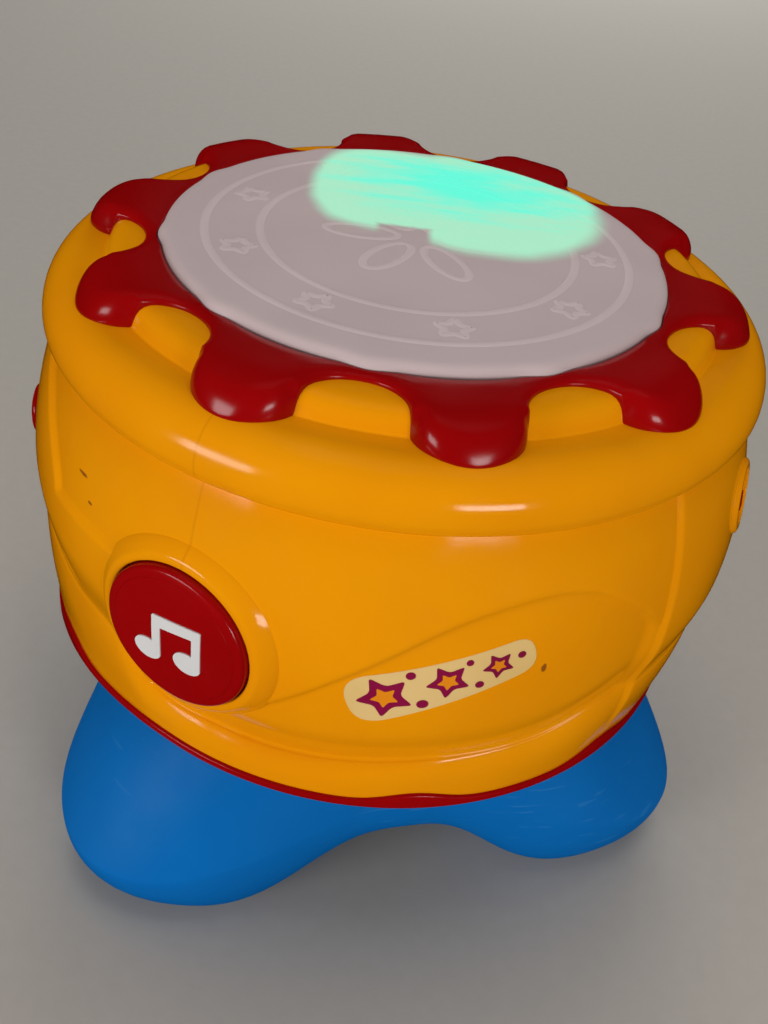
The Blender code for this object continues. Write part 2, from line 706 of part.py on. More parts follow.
def make_crown():
    """Red crown: a ring with a bumpy bore and thick rounded lobes that drape over the step."""
    outer = crown_outline()
    per_lobe = len(outer) // LOBE_COUNT
    pitch = 2 * pi / LOBE_COUNT
    bore = []
    for i in range(len(outer)):
        azimuth = LOBE_AZIMUTH + pitch * ((i + 1) / per_lobe - 0.5)
        bore.append(outward(azimuth) * head_outline(azimuth, SLIDE_GAP))
    rings = []
    for t in (0.0, 0.06, 0.18, 0.5, 1.0):
        ring = []
        for p, q in zip(outer, bore):
            point = p.lerp(q, t)
            top = crown_top(point.length, (p - point).length)
            ring.append(Vector((point.x, point.y, top)))
        rings.append(ring)
    low = RIM_Z - SEAT_GAP
    rings.append([Vector((q.x, q.y, low)) for q in bore])
    rings.append([Vector((p.x, p.y, low)) for p in outer])
    crown = piece("crown_ring", loft(rings), RED)
    peg_low = RIM_Z - PEG_LENGTH
    peg_top = RIM_Z + CROWN_THICK / 2
    pegs = [(rod(PEG_RADIUS, peg_low, peg_top, 12), upright(a, peg_ring())) for a in peg_azimuths()]
    bed_low = low - CROWN_THICK
    bed = [
        (0.0, bed_low),
        (BEAD_RADIUS, bed_low),
        (BEAD_RADIUS, RIM_Z + SEAT_GAP),
        (STEP_RADIUS + SEAT_GAP, RIM_Z + SEAT_GAP),
        (PLATEAU_RADIUS + SEAT_GAP, DECK_Z + SEAT_GAP),
        (0.0, DECK_Z + SEAT_GAP),
    ]
    shape(crown, "DIFFERENCE", polar_loft(lambda azimuth: bed, even(SHELL_STEPS, LOBE_AZIMUTH)))
    shape(crown, "UNION", joined(*pegs))


def make_drum_head():
    """White head: a shallow cap with a bumpy edge, a retaining flange and a switch post."""
    inner_top = HEAD_TOP - HEAD_WALL

    def profile(azimuth):
        edge = head_outline(azimuth)
        return [
            (0.0, HEAD_TOP + HEAD_DOME),
            (HEAD_RADIUS * 0.6, HEAD_TOP + HEAD_DOME * 0.65),
            (edge - HEAD_EDGE_ROUND, HEAD_TOP),
            (edge - HEAD_EDGE_ROUND * 0.3, HEAD_TOP - HEAD_EDGE_ROUND * 0.3),
            (edge, HEAD_TOP - HEAD_EDGE_ROUND),
            (edge, HEAD_FLANGE_TOP),
            (HEAD_FLANGE_RADIUS, HEAD_FLANGE_TOP),
            (HEAD_FLANGE_RADIUS, HEAD_FLANGE_LOW),
            (HEAD_INNER, HEAD_FLANGE_LOW),
            (HEAD_INNER, inner_top),
            (HEAD_POST_RADIUS, inner_top + HEAD_DOME * 0.8),
            (HEAD_POST_RADIUS, HEAD_POST_END),
            (0.0, HEAD_POST_END),
        ]

    pitch = 2 * pi / LOBE_COUNT
    half = BUMP_HALF_WIDTH
    spread = (0.0, pitch / 4 - half / 2, pitch / 2 - half, pitch / 2 - half / 2)
    spread += (pitch / 2, pitch / 2 + half / 2, pitch / 2 + half, pitch * 3 / 4 + half / 2)
    azimuths = [LOBE_AZIMUTH + i * pitch + step for i in range(LOBE_COUNT) for step in spread]
    piece("drum_head", polar_loft(profile, azimuths), HEAD_WHITE)


def make_light_chamber():
    """White reflector bowl with three walls, a hub and three screw ears."""
    flange_low = CHAMBER_FLANGE_Z - CHAMBER_FLANGE_THICK
    inner = CHAMBER_RADIUS - CHAMBER_WALL
    profile = [
        (HUB_BORE, CHAMBER_BASE),
        (CHAMBER_RADIUS, CHAMBER_BASE),
        (CHAMBER_RADIUS, flange_low),
        (CHAMBER_FLANGE_RADIUS, flange_low),
        (CHAMBER_FLANGE_RADIUS, CHAMBER_FLANGE_Z),
        (CHAMBER_RADIUS, CHAMBER_FLANGE_Z),
        (CHAMBER_RADIUS, CHAMBER_TOP),
        (inner, CHAMBER_TOP),
        (inner, CHAMBER_BASE + CHAMBER_FLOOR),
        (HUB_RADIUS, CHAMBER_BASE + CHAMBER_FLOOR),
        (HUB_RADIUS, CHAMBER_TOP),
        (HUB_BORE, CHAMBER_TOP),
    ]
    chamber = piece("light_chamber", turned(profile, 30), WHITE)
    wall_from = (HUB_BORE + HUB_RADIUS) / 2
    wall_to = CHAMBER_RADIUS - CHAMBER_WALL / 2
    wall_low = CHAMBER_BASE + CHAMBER_FLOOR / 2
    wall_size = (wall_to - wall_from, CHAMBER_WALL, CHAMBER_TOP - 0.0004 - wall_low)
    wall_centre = ((wall_to + wall_from) / 2, 0.0, (CHAMBER_TOP - 0.0004 + wall_low) / 2)
    half = pi / SECTOR_COUNT
    walls = [(block(wall_size, wall_centre), upright(a + half, 0.0)) for a in sector_azimuths()]
    shape(chamber, "UNION", joined(*walls))
    ear_from = CHAMBER_RADIUS + CHAMBER_WALL
    ear_to = EAR_RING + EAR_WIDTH / 2
    ear_size = (ear_to - ear_from, EAR_WIDTH, CHAMBER_FLANGE_THICK - 0.0004)
    ear_centre = ((ear_to + ear_from) / 2, 0.0, (CHAMBER_FLANGE_Z + flange_low) / 2)
    ears = [(block(ear_size, ear_centre), upright(a, 0.0)) for a in sector_azimuths()]
    stand_low = BOARD_TOP + SEAT_GAP
    stands = [
        (rod(BOSS_RADIUS, stand_low, CHAMBER_BASE + CHAMBER_FLOOR / 2, 16), upright(a, BOARD_SCREW_RING))
        for a in board_screw_azimuths()
    ]
    shape(chamber, "UNION", joined(*ears, *stands))
    hole = SCREW_RADIUS + SCREW_GAP
    cuts = []
    for a in sector_azimuths():
        ear_hole = rod(hole, flange_low - BOSS_HEIGHT, CHAMBER_FLANGE_Z + BOSS_HEIGHT / 2, 16)
        cuts.append((ear_hole, upright(a, EAR_RING)))
        lamp_low = CHAMBER_BASE - CHAMBER_FLOOR
        lamp_hole = rod(LED_RADIUS + SLIDE_GAP, lamp_low, CHAMBER_BASE + 2 * CHAMBER_FLOOR, 16)
        cuts.append((lamp_hole, upright(a, LED_RING)))
    for a in board_screw_azimuths():
        pilot = rod(hole, stand_low - BOARD_THICK, CHAMBER_BASE + CHAMBER_FLOOR / 2, 12)
        cuts.append((pilot, upright(a, BOARD_SCREW_RING)))
    shape(chamber, "DIFFERENCE", joined(*cuts))


def board_screw_azimuths():
    """Two screws hold the main board, clear of the lamps."""
    first = SECTOR_AZIMUTH + pi / SECTOR_COUNT
    return [first, first + 2 * pi / SECTOR_COUNT]


def screw(name, head_z, tip_z, place, head_radius=SCREW_HEAD_RADIUS):
    """Pan-head screw along Z; the head lies on the side away from the tip."""
    out = 1.0 if head_z > tip_z else -1.0
    profile = [
        (0.0, head_z + out * SCREW_HEAD_THICK),
        (head_radius * 0.75, head_z + out * SCREW_HEAD_THICK),
        (head_radius, head_z + out * SCREW_HEAD_THICK * 0.4),
        (head_radius, head_z),
        (SCREW_RADIUS, head_z),
        (SCREW_RADIUS, tip_z + out * SCREW_RADIUS),
        (0.0, tip_z),
    ]
    piece(name, turned(profile, 10), STEEL, place)


def make_electronics():
    """Main board with three lamps and the head's switch, on its screws."""
    board = piece("main_board", rod(BOARD_RADIUS, BOARD_LOW, BOARD_TOP, 40), BOARD_GREEN)
    hole = SCREW_RADIUS + SCREW_GAP
    holes = [
        (rod(hole, BOARD_LOW - BOARD_THICK, BOARD_TOP + BOARD_THICK, 12), upright(a, BOARD_SCREW_RING))
        for a in board_screw_azimuths()
    ]
    shape(board, "DIFFERENCE", joined(*holes))
    for i, a in enumerate(board_screw_azimuths()):
        tip = CHAMBER_BASE + CHAMBER_FLOOR / 2 - SEAT_GAP
        screw(f"board_screw_{i + 1}", BOARD_LOW - SEAT_GAP, tip, upright(a, BOARD_SCREW_RING))
    low = BOARD_TOP + SEAT_GAP
    top = low + LED_LENGTH
    lamp = [
        (0.0, top),
        (LED_RADIUS * 0.6, top - LED_RADIUS * 0.25),
        (LED_RADIUS, top - LED_RADIUS),
        (LED_RADIUS, low),
        (0.0, low),
    ]
    for i, a in enumerate(sector_azimuths()):
        piece(f"led_{i + 1}", turned(lamp, 16), LAMP, upright(a, LED_RING))
    body = block((TACT_SIZE, TACT_SIZE, TACT_HEIGHT), (0.0, 0.0, low + TACT_HEIGHT / 2))
    switch = piece("head_switch", body, BLACK)
    shape(switch, "UNION", rod(TACT_SIZE * 0.29, low + TACT_HEIGHT / 2, low + TACT_HEIGHT + TACT_PLUNGER, 12))


def make_springs():
    """Three coil springs that carry the head's flange."""
    low = CHAMBER_FLANGE_Z + SEAT_GAP + SPRING_WIRE
    high = HEAD_FLANGE_LOW - SEAT_GAP - SPRING_WIRE
    per_turn = 6
    coil = SPRING_RADIUS - SPRING_WIRE
    for i, a in enumerate(sector_azimuths()):
        route = []
        for k in range(SPRING_TURNS * per_turn + 1):
            t = k / (SPRING_TURNS * per_turn)
            swing = 2 * pi * SPRING_TURNS * t
            route.append((coil * cos(swing), coil * sin(swing), low + (high - low) * t))
        place = upright(a + pi / SECTOR_COUNT, SPRING_RING)
        add_lead(f"head_spring_{i + 1}", route, SPRING_WIRE, STEEL, place, 0)


def add_lead(name, route, radius, finish, place=None, sides=1):
    """Round wire along a list of points, as a curve with filled ends."""
    curve = bpy.data.curves.new(name, "CURVE")
    curve.dimensions = "3D"
    curve.bevel_depth = radius
    curve.bevel_resolution = sides
    curve.use_fill_caps = True
    line = curve.splines.new("POLY")
    line.points.add(len(route) - 1)
    for point, place_at in zip(line.points, route):
        point.co = (*place_at, 1.0)
    curve.materials.append(material(finish))
    made = bpy.data.objects.new(name, curve)
    bpy.context.collection.objects.link(made)
    made.parent = FRAME
    if place is not None:
        made.matrix_local = place


def make_slider():
    """Power slider: a red knob in the bezel, its stem through the slot, and the switch behind."""
    place = slider_place()
    rest = -SLIDER_TRAVEL / 2
    knob_low = BEZEL_BED + SEAT_GAP
    cap = block((KNOB_LENGTH, KNOB_HEIGHT, KNOB_OUT), (rest, 0.0, knob_low + KNOB_OUT / 2))
    bmesh.ops.bevel(
        cap, geom=cap.edges[:], offset=0.0006, segments=1, profile=0.5, affect="EDGES", material=-1
    )
    knob = piece("power_slider", cap, RED, place)
    stem_low = BEZEL_BACK - STEM_REACH
    stem_high = knob_low + KNOB_OUT / 2
    stem = block((STEM_LENGTH, STEM_HEIGHT, stem_high - stem_low), (rest, 0.0, (stem_high + stem_low) / 2))
    shape(knob, "UNION", stem, place)
    top = stem_low - SEAT_GAP
    body = block((SWITCH_LENGTH, SWITCH_HEIGHT, SWITCH_DEPTH), (0.0, 0.0, top - SWITCH_DEPTH / 2))
    switch = piece("slide_switch", body, BLACK, place)
    cheek_long = (SWITCH_LENGTH - STEM_LENGTH - SLIDER_TRAVEL) / 2 - 2 * SLIDE_GAP
    cheek_high = BEZEL_BACK - SEAT_GAP - top + SWITCH_DEPTH / 2
    cheek_x = (SWITCH_LENGTH - cheek_long) / 2
    cheek_z = BEZEL_BACK - SEAT_GAP - cheek_high / 2
    for side in (-1, 1):
        cheek_size = (cheek_long, SWITCH_HEIGHT - 0.0004, cheek_high)
        cheek = block(cheek_size, (side * (cheek_x - 0.0002), 0.0, cheek_z))
        shape(switch, "UNION", cheek, place)
    return place @ Vector((0.0, 0.0, top - SWITCH_DEPTH - 2 * SEAT_GAP))


def make_floor_pan():
    """Red floor pan whose wavy rim shows between the shell and the stand."""
    lip_inner = PAN_LIP_RADIUS - PAN_LIP_WALL
    sound = SPEAKER_RADIUS * 0.8

    def profile(azimuth):
        rim = PAN_BOTTOM + PAN_RIM_HEIGHT + scallop(azimuth)
        return [
            (sound, PAN_BOTTOM),
            (PAN_RADIUS + swell(azimuth), PAN_BOTTOM),
            (PAN_RADIUS + swell(azimuth), rim),
            (PAN_RADIUS + swell(azimuth) - PAN_RIM_WIDTH, rim),
            (PAN_LIP_RADIUS, PAN_BOTTOM + PAN_LIP_HEIGHT),
            (lip_inner, PAN_BOTTOM + PAN_LIP_HEIGHT),
            (lip_inner, PAN_TOP),
            (sound, PAN_TOP),
        ]

    pan = piece("floor_pan", polar_loft(profile, even(SHELL_STEPS, LOBE_AZIMUTH)), RED)
    boss_top = PAN_TOP + SEAT_GAP + SPEAKER_FLANGE + SEAT_GAP
    bosses = [
        (rod(SPEAKER_BOSS_RADIUS, PAN_TOP - PAN_FLOOR / 2, boss_top, 14), upright(a, speaker_screw_ring()))
        for a in sector_azimuths()
    ]
    for a in foot_azimuths():
        boss = rod(BOSS_RADIUS, PAN_TOP - PAN_FLOOR / 2, PAN_TOP + PAN_BOSS_HEIGHT, 14)
        bosses.append((boss, upright(a, POST_RING)))
    shape(pan, "UNION", joined(*bosses))
    hole = SCREW_RADIUS + SCREW_GAP
    cuts = []
    for a in waist_azimuths():
        cuts.append((rod(hole, PAN_BOTTOM - PAN_FLOOR, PAN_TOP + PAN_FLOOR, 12), upright(a, SHELL_BOSS_RING)))
    for a in foot_azimuths():
        pilot = rod(hole, PAN_BOTTOM - PAN_FLOOR, PAN_TOP + PAN_BOSS_HEIGHT * 0.85, 12)
        cuts.append((pilot, upright(a, POST_RING)))
    for a in sector_azimuths():
        speaker_pilot = rod(hole, PAN_BOTTOM + PAN_FLOOR * 0.2, boss_top + PAN_FLOOR, 12)
        cuts.append((speaker_pilot, upright(a, speaker_screw_ring())))
    wire_hole = rod(WIRE_HOLE_RADIUS, PAN_BOTTOM - PAN_FLOOR, PAN_TOP + PAN_FLOOR, 14)
    cuts.append((wire_hole, upright(lead_azimuth(), WIRE_HOLE_RING)))
    shape(pan, "DIFFERENCE", joined(*cuts))


def speaker_screw_ring():
    """Radius of the screws that clamp the speaker's rim."""
    return SPEAKER_RADIUS + SPEAKER_BOSS_RADIUS + 2 * SEAT_GAP


def lead_azimuth():
    """The battery lead rises on the side away from the feet, along the battery box."""
    return FOOT_AZIMUTH + pi / FOOT_COUNT


def make_speaker():
    """Speaker that faces down through the pan: basket, cone and magnet, clamped by three screws."""
    low = PAN_TOP + SEAT_GAP
    rim = low + SPEAKER_FLANGE
    top = low + SPEAKER_HEIGHT
    wall = SPEAKER_FLANGE
    inner = SPEAKER_RADIUS * 0.88
    basket = [
        (inner, low),
        (SPEAKER_RADIUS, low),
        (SPEAKER_RADIUS, rim),
        (inner + wall, rim),
        (MAGNET_RADIUS, top),
        (MAGNET_RADIUS * 0.5, top),
        (MAGNET_RADIUS * 0.5, top - wall),
        (MAGNET_RADIUS - wall, top - wall),
        (inner, rim),
    ]
    piece("speaker_basket", turned(basket, 24), STEEL)
    magnet_low = top + SEAT_GAP
    magnet = [
        (0.0, magnet_low),
        (MAGNET_RADIUS, magnet_low),
        (MAGNET_RADIUS, magnet_low + MAGNET_HEIGHT),
        (0.0, magnet_low + MAGNET_HEIGHT),
    ]
    piece("speaker_magnet", turned(magnet, 24), BLACK)
    edge = inner - 2 * SEAT_GAP
    cone_low = low + SEAT_GAP
    apex = top - 3 * wall
    cone = [
        (0.0, cone_low + 0.002),
        (MAGNET_RADIUS * 0.5, apex - CONE_THICK),
        (edge - 0.0005, cone_low),
        (edge, cone_low + CONE_THICK),
        (edge - 0.0016, cone_low + 2 * CONE_THICK),
        (MAGNET_RADIUS * 0.5, apex),
        (0.0, cone_low + 0.002 + CONE_THICK),
    ]
    piece("speaker_cone", turned(cone, 24), PAPER)
    for i, a in enumerate(sector_azimuths()):
        head_z = rim + 3 * SEAT_GAP
        screw(
            f"speaker_screw_{i + 1}",
            head_z,
            PAN_BOTTOM + PAN_FLOOR * 0.4,
            upright(a, speaker_screw_ring()),
            SPEAKER_SCREW_HEAD,
        )
    return top


def foot_share(azimuth):
    """1 at each foot's azimuth, 0 at the waists between them."""
    return 0.5 + 0.5 * cos(FOOT_COUNT * (azimuth - FOOT_AZIMUTH))


def sole_share(azimuth):
    """1 where the underside is down at the sole, 0 where it is up at the arch."""
    return smooth(foot_share(azimuth), SOLE_FROM, SOLE_TO)


def stand_side(azimuth, inset):
    """Stand profile at an azimuth, from the neck out over the foot or waist and under to its lower edge."""
    share = foot_share(azimuth) ** FOOT_FULLNESS
    belly_r = WAIST_RADIUS + (FOOT_REACH - WAIST_RADIUS) * share - inset
    edge_z = ARCH_HEIGHT * (1.0 - sole_share(azimuth)) + inset
    roll = WAIST_ROUND + (FOOT_ROUND - WAIST_ROUND) * share
    waist_belly = ARCH_HEIGHT + 2 * WAIST_ROUND
    belly_z = max(waist_belly + (FOOT_BELLY_HEIGHT - waist_belly) * share, edge_z + WAIST_ROUND)
    edge_r = belly_r - roll
    neck_r = NECK_RADIUS - inset
    profile = []
    upper_rows = 5
    for i in range(upper_rows):
        swing = pi / 2 * (1 - i / upper_rows)
        r = neck_r + (belly_r - neck_r) * max(cos(swing), 0.0) ** NECK_SLOPE
        profile.append((r, belly_z + (STAND_HEIGHT - belly_z) * sin(swing) ** NECK_SLOPE))
    lower_rows = 4
    for i in range(lower_rows + 1):
        swing = pi / 2 * i / lower_rows
        profile.append((edge_r + roll * cos(swing), belly_z - (belly_z - edge_z) * sin(swing)))
    return profile


def plate_ramp(azimuth, inset):
    """Bottom cover's profile from the sole or arch in to its flat middle."""
    sole = sole_share(azimuth)
    rows = 3
    profile = []
    for i in range(rows + 1):
        t = i / rows
        r = PLATE_RADIUS + inset + PLATE_RAMP * (1 - t)
        profile.append((r, ARCH_HEIGHT * (1.0 - sole * smooth(1 - t, 0.0, 1.0)) + inset))
    return profile


def make_stand():
    """Blue stand: a flared shell with three feet, open above and below."""

    def profile(azimuth):
        return stand_side(azimuth, 0.0) + stand_side(azimuth, STAND_WALL)[::-1]

    piece("base_stand", polar_loft(profile, even(STAND_STEPS, FOOT_AZIMUTH)), BLUE)


def make_base_plate():
    """Blue bottom cover: a plate with three soles, screw posts, a battery opening and sound holes."""

    def profile(azimuth):
        edge_r, edge_z = stand_side(azimuth, 0.0)[-1]
        rim_r, rim_z = stand_side(azimuth, STAND_WALL)[-1]
        outside = [(rim_r - PLATE_EDGE_GAP, rim_z), (edge_r - PLATE_EDGE_GAP, edge_z)]
        upper = plate_ramp(azimuth, STAND_WALL)[::-1]
        return [(0.0, PLATE_TOP)] + upper + outside + plate_ramp(azimuth, 0.0) + [(0.0, ARCH_HEIGHT)]

    plate = piece("base_plate", polar_loft(profile, even(STAND_STEPS, FOOT_AZIMUTH)), BLUE)
    at_posts = [upright(a, POST_RING) for a in foot_azimuths()]
    posts = [(rod(POST_RADIUS, STAND_WALL / 2, STAND_HEIGHT, 18), at) for at in at_posts]
    shape(plate, "UNION", joined(*posts))
    bore_top = STAND_HEIGHT - POST_BORE_TOP
    bores = [(rod(POST_BORE, -STAND_WALL, bore_top, 18), at) for at in at_posts]
    hole = SCREW_RADIUS + SCREW_GAP
    holes = [(rod(hole, bore_top / 2, STAND_HEIGHT + STAND_WALL, 14), at) for at in at_posts]
    width, length = door_size()
    opening = (length + 2 * SLIDE_GAP, width + 2 * SLIDE_GAP, 4 * STAND_WALL)
    bores.append((block(opening, (0.0, 0.0, ARCH_HEIGHT)), upright(lead_azimuth(), 0.0)))
    for k in range(SOUND_HOLE_COUNT):
        side = 1 if k % 2 else -1
        along = (k // 2 - (SOUND_HOLE_COUNT / 2 - 1) / 2) * 4 * SOUND_HOLE_RADIUS
        across = width / 2 + BOX_WALL + 2.5 * SOUND_HOLE_RADIUS
        sound_hole = rod(SOUND_HOLE_RADIUS, ARCH_HEIGHT - STAND_WALL, PLATE_TOP + STAND_WALL, 10)
        beside = Matrix.Translation((along, side * across, 0.0))
        holes.append((sound_hole, upright(lead_azimuth(), 0.0) @ beside))
    shape(plate, "DIFFERENCE", joined(*bores))
    shape(plate, "DIFFERENCE", joined(*holes))


def make_base_screws():
    """Long screws from the bottom cover's posts into the pan, and short ones from the pan into the shell."""
    for i, a in enumerate(foot_azimuths()):
        head_z = STAND_HEIGHT - POST_BORE_TOP - SEAT_GAP
        tip = PAN_TOP + PAN_BOSS_HEIGHT * 0.8
        screw(f"base_screw_{i + 1}", head_z, tip, upright(a, POST_RING))
    for i, a in enumerate(waist_azimuths()):
        tip = PAN_TOP + SEAT_GAP + BOSS_HEIGHT * 0.8
        screw(f"shell_screw_{i + 1}", PAN_BOTTOM - SEAT_GAP, tip, upright(a, SHELL_BOSS_RING))


def cell_bay():
    """Width, length and depth of the room for the cells and their contacts."""
    width = CELL_COUNT * 2 * CELL_RADIUS + (CELL_COUNT + 1) * CELL_GAP
    length = CELL_LENGTH + 2 * CONTACT_THICK + CONTACT_SPRING + 5 * SEAT_GAP
    return width, length, 2 * CELL_RADIUS + 2 * CELL_GAP


def door_size():
    """Width and length of the battery door, which also covers the screw boss."""
    width, length, depth = cell_bay()
    return width + 2 * DOOR_LEDGE, length + 2 * DOOR_LEDGE + BOX_BOSS


def make_battery_box():
    """Battery box above the stand's plate, with its door, screw, cells and contact plates."""
    place = upright(lead_azimuth(), 0.0)
    width, length, depth = cell_bay()
    door_width, door_length = door_size()
    low = PLATE_TOP + SEAT_GAP
    shift = BOX_BOSS / 2
    outer = (door_length + 2 * BOX_WALL / 2, door_width + 2 * BOX_WALL / 2, depth + BOX_ROOF)
    box = piece("battery_box", block(outer, (0.0, 0.0, low + outer[2] / 2)), BLACK, place)
    bay = block((length, width, 2 * depth), (shift, 0.0, low))
    boss_x = -door_length / 2 + BOX_BOSS / 2
    hole = SCREW_RADIUS + SCREW_GAP
    pilot = rod(hole, low - depth, low + depth * 0.7, 14)
    shape(box, "DIFFERENCE", joined(bay, (pilot, Matrix.Translation((boss_x, 0.0, 0.0)))), place)
    door_low = ARCH_HEIGHT
    door_high = low - SEAT_GAP
    door = block((door_length, door_width, door_high - door_low), (0.0, 0.0, (door_high + door_low) / 2))
    lid = piece("battery_door", door, BLUE, place)
    sink = SCREW_HEAD_RADIUS + SCREW_GAP
    sunk = SCREW_HEAD_THICK * 0.7
    recess = turned(
        [
            (0.0, door_low - sunk),
            (sink, door_low - sunk),
            (sink, door_low + sunk),
            (hole, door_low + sunk),
            (hole, door_high + sunk),
            (0.0, door_high + sunk),
        ],
        14,
    )
    shape(lid, "DIFFERENCE", recess, place @ Matrix.Translation((boss_x, 0.0, 0.0)))
    screw_place = place @ Matrix.Translation((boss_x, 0.0, 0.0))
    screw("battery_door_screw", door_low + sunk - SEAT_GAP, low + depth * 0.6, screw_place)
    first = shift - length / 2
    cell_z = low + depth - CELL_GAP - CELL_RADIUS
    plate_size = (CONTACT_THICK, width - 2 * CELL_GAP, 1.6 * CELL_RADIUS)
    near = first + SEAT_GAP + CONTACT_THICK / 2
    far = first + length - SEAT_GAP - CONTACT_THICK / 2
    spring_plate = piece("contact_spring_plate", block(plate_size, (near, 0.0, cell_z)), STEEL, place)
    plain_plate = piece("contact_plate", block(plate_size, (far, 0.0, cell_z)), STEEL, place)
    coil_tip = near + CONTACT_THICK / 2 + CONTACT_SPRING
    along = Matrix.Rotation(pi / 2, 4, "Y")
    cell_low = coil_tip + SEAT_GAP
    coils = []
    studs = []
    for k in range(CELL_COUNT):
        y = (k - (CELL_COUNT - 1) / 2) * (2 * CELL_RADIUS + CELL_GAP)
        spot = Matrix.Translation((0.0, y, cell_z)) @ along
        coil = [(0.0, near), (0.0034, near), (0.0024, coil_tip), (0.0, coil_tip)]
        coils.append((turned(coil, 12), spot))
        studs.append((rod(0.0026, far - CONTACT_THICK, far, 12), spot))
        nub = CELL_LENGTH - 0.0012
        cell = [
            (0.0, cell_low),
            (CELL_RADIUS - 0.0005, cell_low),
            (CELL_RADIUS, cell_low + 0.0005),
            (CELL_RADIUS, cell_low + nub - 0.0006),
            (CELL_RADIUS - 0.0006, cell_low + nub),
            (0.0027, cell_low + nub),
            (0.0027, cell_low + CELL_LENGTH - 2 * SEAT_GAP),
            (0.0, cell_low + CELL_LENGTH - 2 * SEAT_GAP),
        ]
        piece(f"battery_{k + 1}", turned(cell, 20), CELL_JACKET, place @ spot)
    shape(spring_plate, "UNION", joined(*coils), place)
    shape(plain_plate, "UNION", joined(*studs), place)
    return low + outer[2]


def make_leads(music_at, side_at, slider_at, box_top, basket_top):
    """Leads from the battery box, speaker, buttons and slider up to the main board."""
    end_z = BOARD_LOW - SEAT_GAP
    lead = lead_azimuth()
    start = box_top + SEAT_GAP
    battery = [
        around(lead, WIRE_HOLE_RING * 0.6, start),
        around(lead, WIRE_HOLE_RING * 0.6, (start * 2 + PAN_BOTTOM) / 3),
        around(lead, WIRE_HOLE_RING * 0.90, (start + PAN_BOTTOM * 2) / 3),
        around(lead, WIRE_HOLE_RING, PAN_TOP),
        around(lead, WIRE_HOLE_RING, (PAN_TOP * 2 + end_z) / 3),
        around(lead, BOARD_RADIUS * 0.80, (PAN_TOP + end_z * 2) / 3),
        around(lead, BOARD_RADIUS * 0.75, end_z),
    ]
    add_lead("battery_lead", battery, LEAD_RADIUS, LEAD_JACKET)
    turn = lead + pi
    basket_side = around(turn, MAGNET_RADIUS + 3 * LEAD_RADIUS, basket_top)
    speaker = [
        basket_side,
        basket_side + Vector((0.0, 0.0, MAGNET_HEIGHT)),
        around(turn, BOARD_RADIUS * 0.5, (basket_top + end_z) / 2),
        around(turn, BOARD_RADIUS * 0.6, end_z - MAGNET_HEIGHT),
        around(turn, BOARD_RADIUS * 0.6, end_z),
    ]
    add_lead("speaker_lead", speaker, LEAD_RADIUS, LEAD_JACKET)
    for name, at in (("music_lead", music_at), ("side_lead", side_at), ("slider_lead", slider_at)):
        azimuth = atan2(at.x, -at.y)
        far = hypot(at.x, at.y)
        inner = BOARD_RADIUS * 0.85
        drop = min(at.z, end_z - 3 * BOSS_HEIGHT / 2)
        route = [
            around(azimuth, far, at.z),
            around(azimuth, far - 4 * LEAD_RADIUS, at.z),
            around(azimuth, (far + inner) / 2, (at.z + drop) / 2),
            around(azimuth, inner + 3 * LEAD_RADIUS, (drop + end_z) / 2),
            around(azimuth, inner, end_z - BOSS_HEIGHT / 2),
            around(azimuth, inner, end_z),
        ]
        add_lead(name, route, LEAD_RADIUS, LEAD_JACKET)


def make_chamber_screws():
    """Screws that hold the light chamber's ears to the shell."""
    for i, a in enumerate(sector_azimuths()):
        head_z = CHAMBER_FLANGE_Z - CHAMBER_FLANGE_THICK - SEAT_GAP
        screw(f"chamber_screw_{i + 1}", head_z, RIM_UNDER - SCREW_RADIUS, upright(a, EAR_RING))


def stand_at_origin():
    """Move the frame so that the origin is at the bottom centre of the whole drum's box."""
    bpy.context.view_layer.update()
    graph = bpy.context.evaluated_depsgraph_get()
    corners = []
    for made in bpy.data.objects:
        if made.type == "MESH" and not made.hide_render:
            held = made.evaluated_get(graph)
            corners.extend(held.matrix_world @ vertex.co for vertex in held.data.vertices)
    low = Vector([min(corner[k] for corner in corners) for k in range(3)])
    high = Vector([max(corner[k] for corner in corners) for k in range(3)])
    FRAME.location = (-(low.x + high.x) / 2, -(low.y + high.y) / 2, -low.z)
    bpy.context.view_layer.update()


make_body_shell()
make_crown()
make_drum_head()
make_light_chamber()
make_electronics()
make_springs()
make_chamber_screws()
music_end = make_button("music", MUSIC_RADIUS, MUSIC_AZIMUTH, MUSIC_Z)
side_end = make_button("side", SIDE_RADIUS, SIDE_AZIMUTH, SIDE_Z)
slider_end = make_slider()
make_floor_pan()
basket_end = make_speaker()
make_stand()
make_base_plate()
make_base_screws()
box_end = make_battery_box()
make_leads(music_end, side_end, slider_end, box_end, basket_end)
stand_at_origin()
print("drum axis at", tuple(round(v, 6) for v in FRAME.location))
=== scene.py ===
"""Looks of the toy drum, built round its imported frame.

Lengths are metres. Pieces are shaped about the drum's own axis, then moved to where the frame has it.
Azimuths turn from the front (-Y) towards +X.
"""
import json
from bisect import bisect_right
from functools import reduce
from math import atan2, cos, degrees, hypot, pi, radians, sin, sqrt

import bmesh
import bpy
from mathutils import Matrix, Vector
from mathutils.kdtree import KDTree


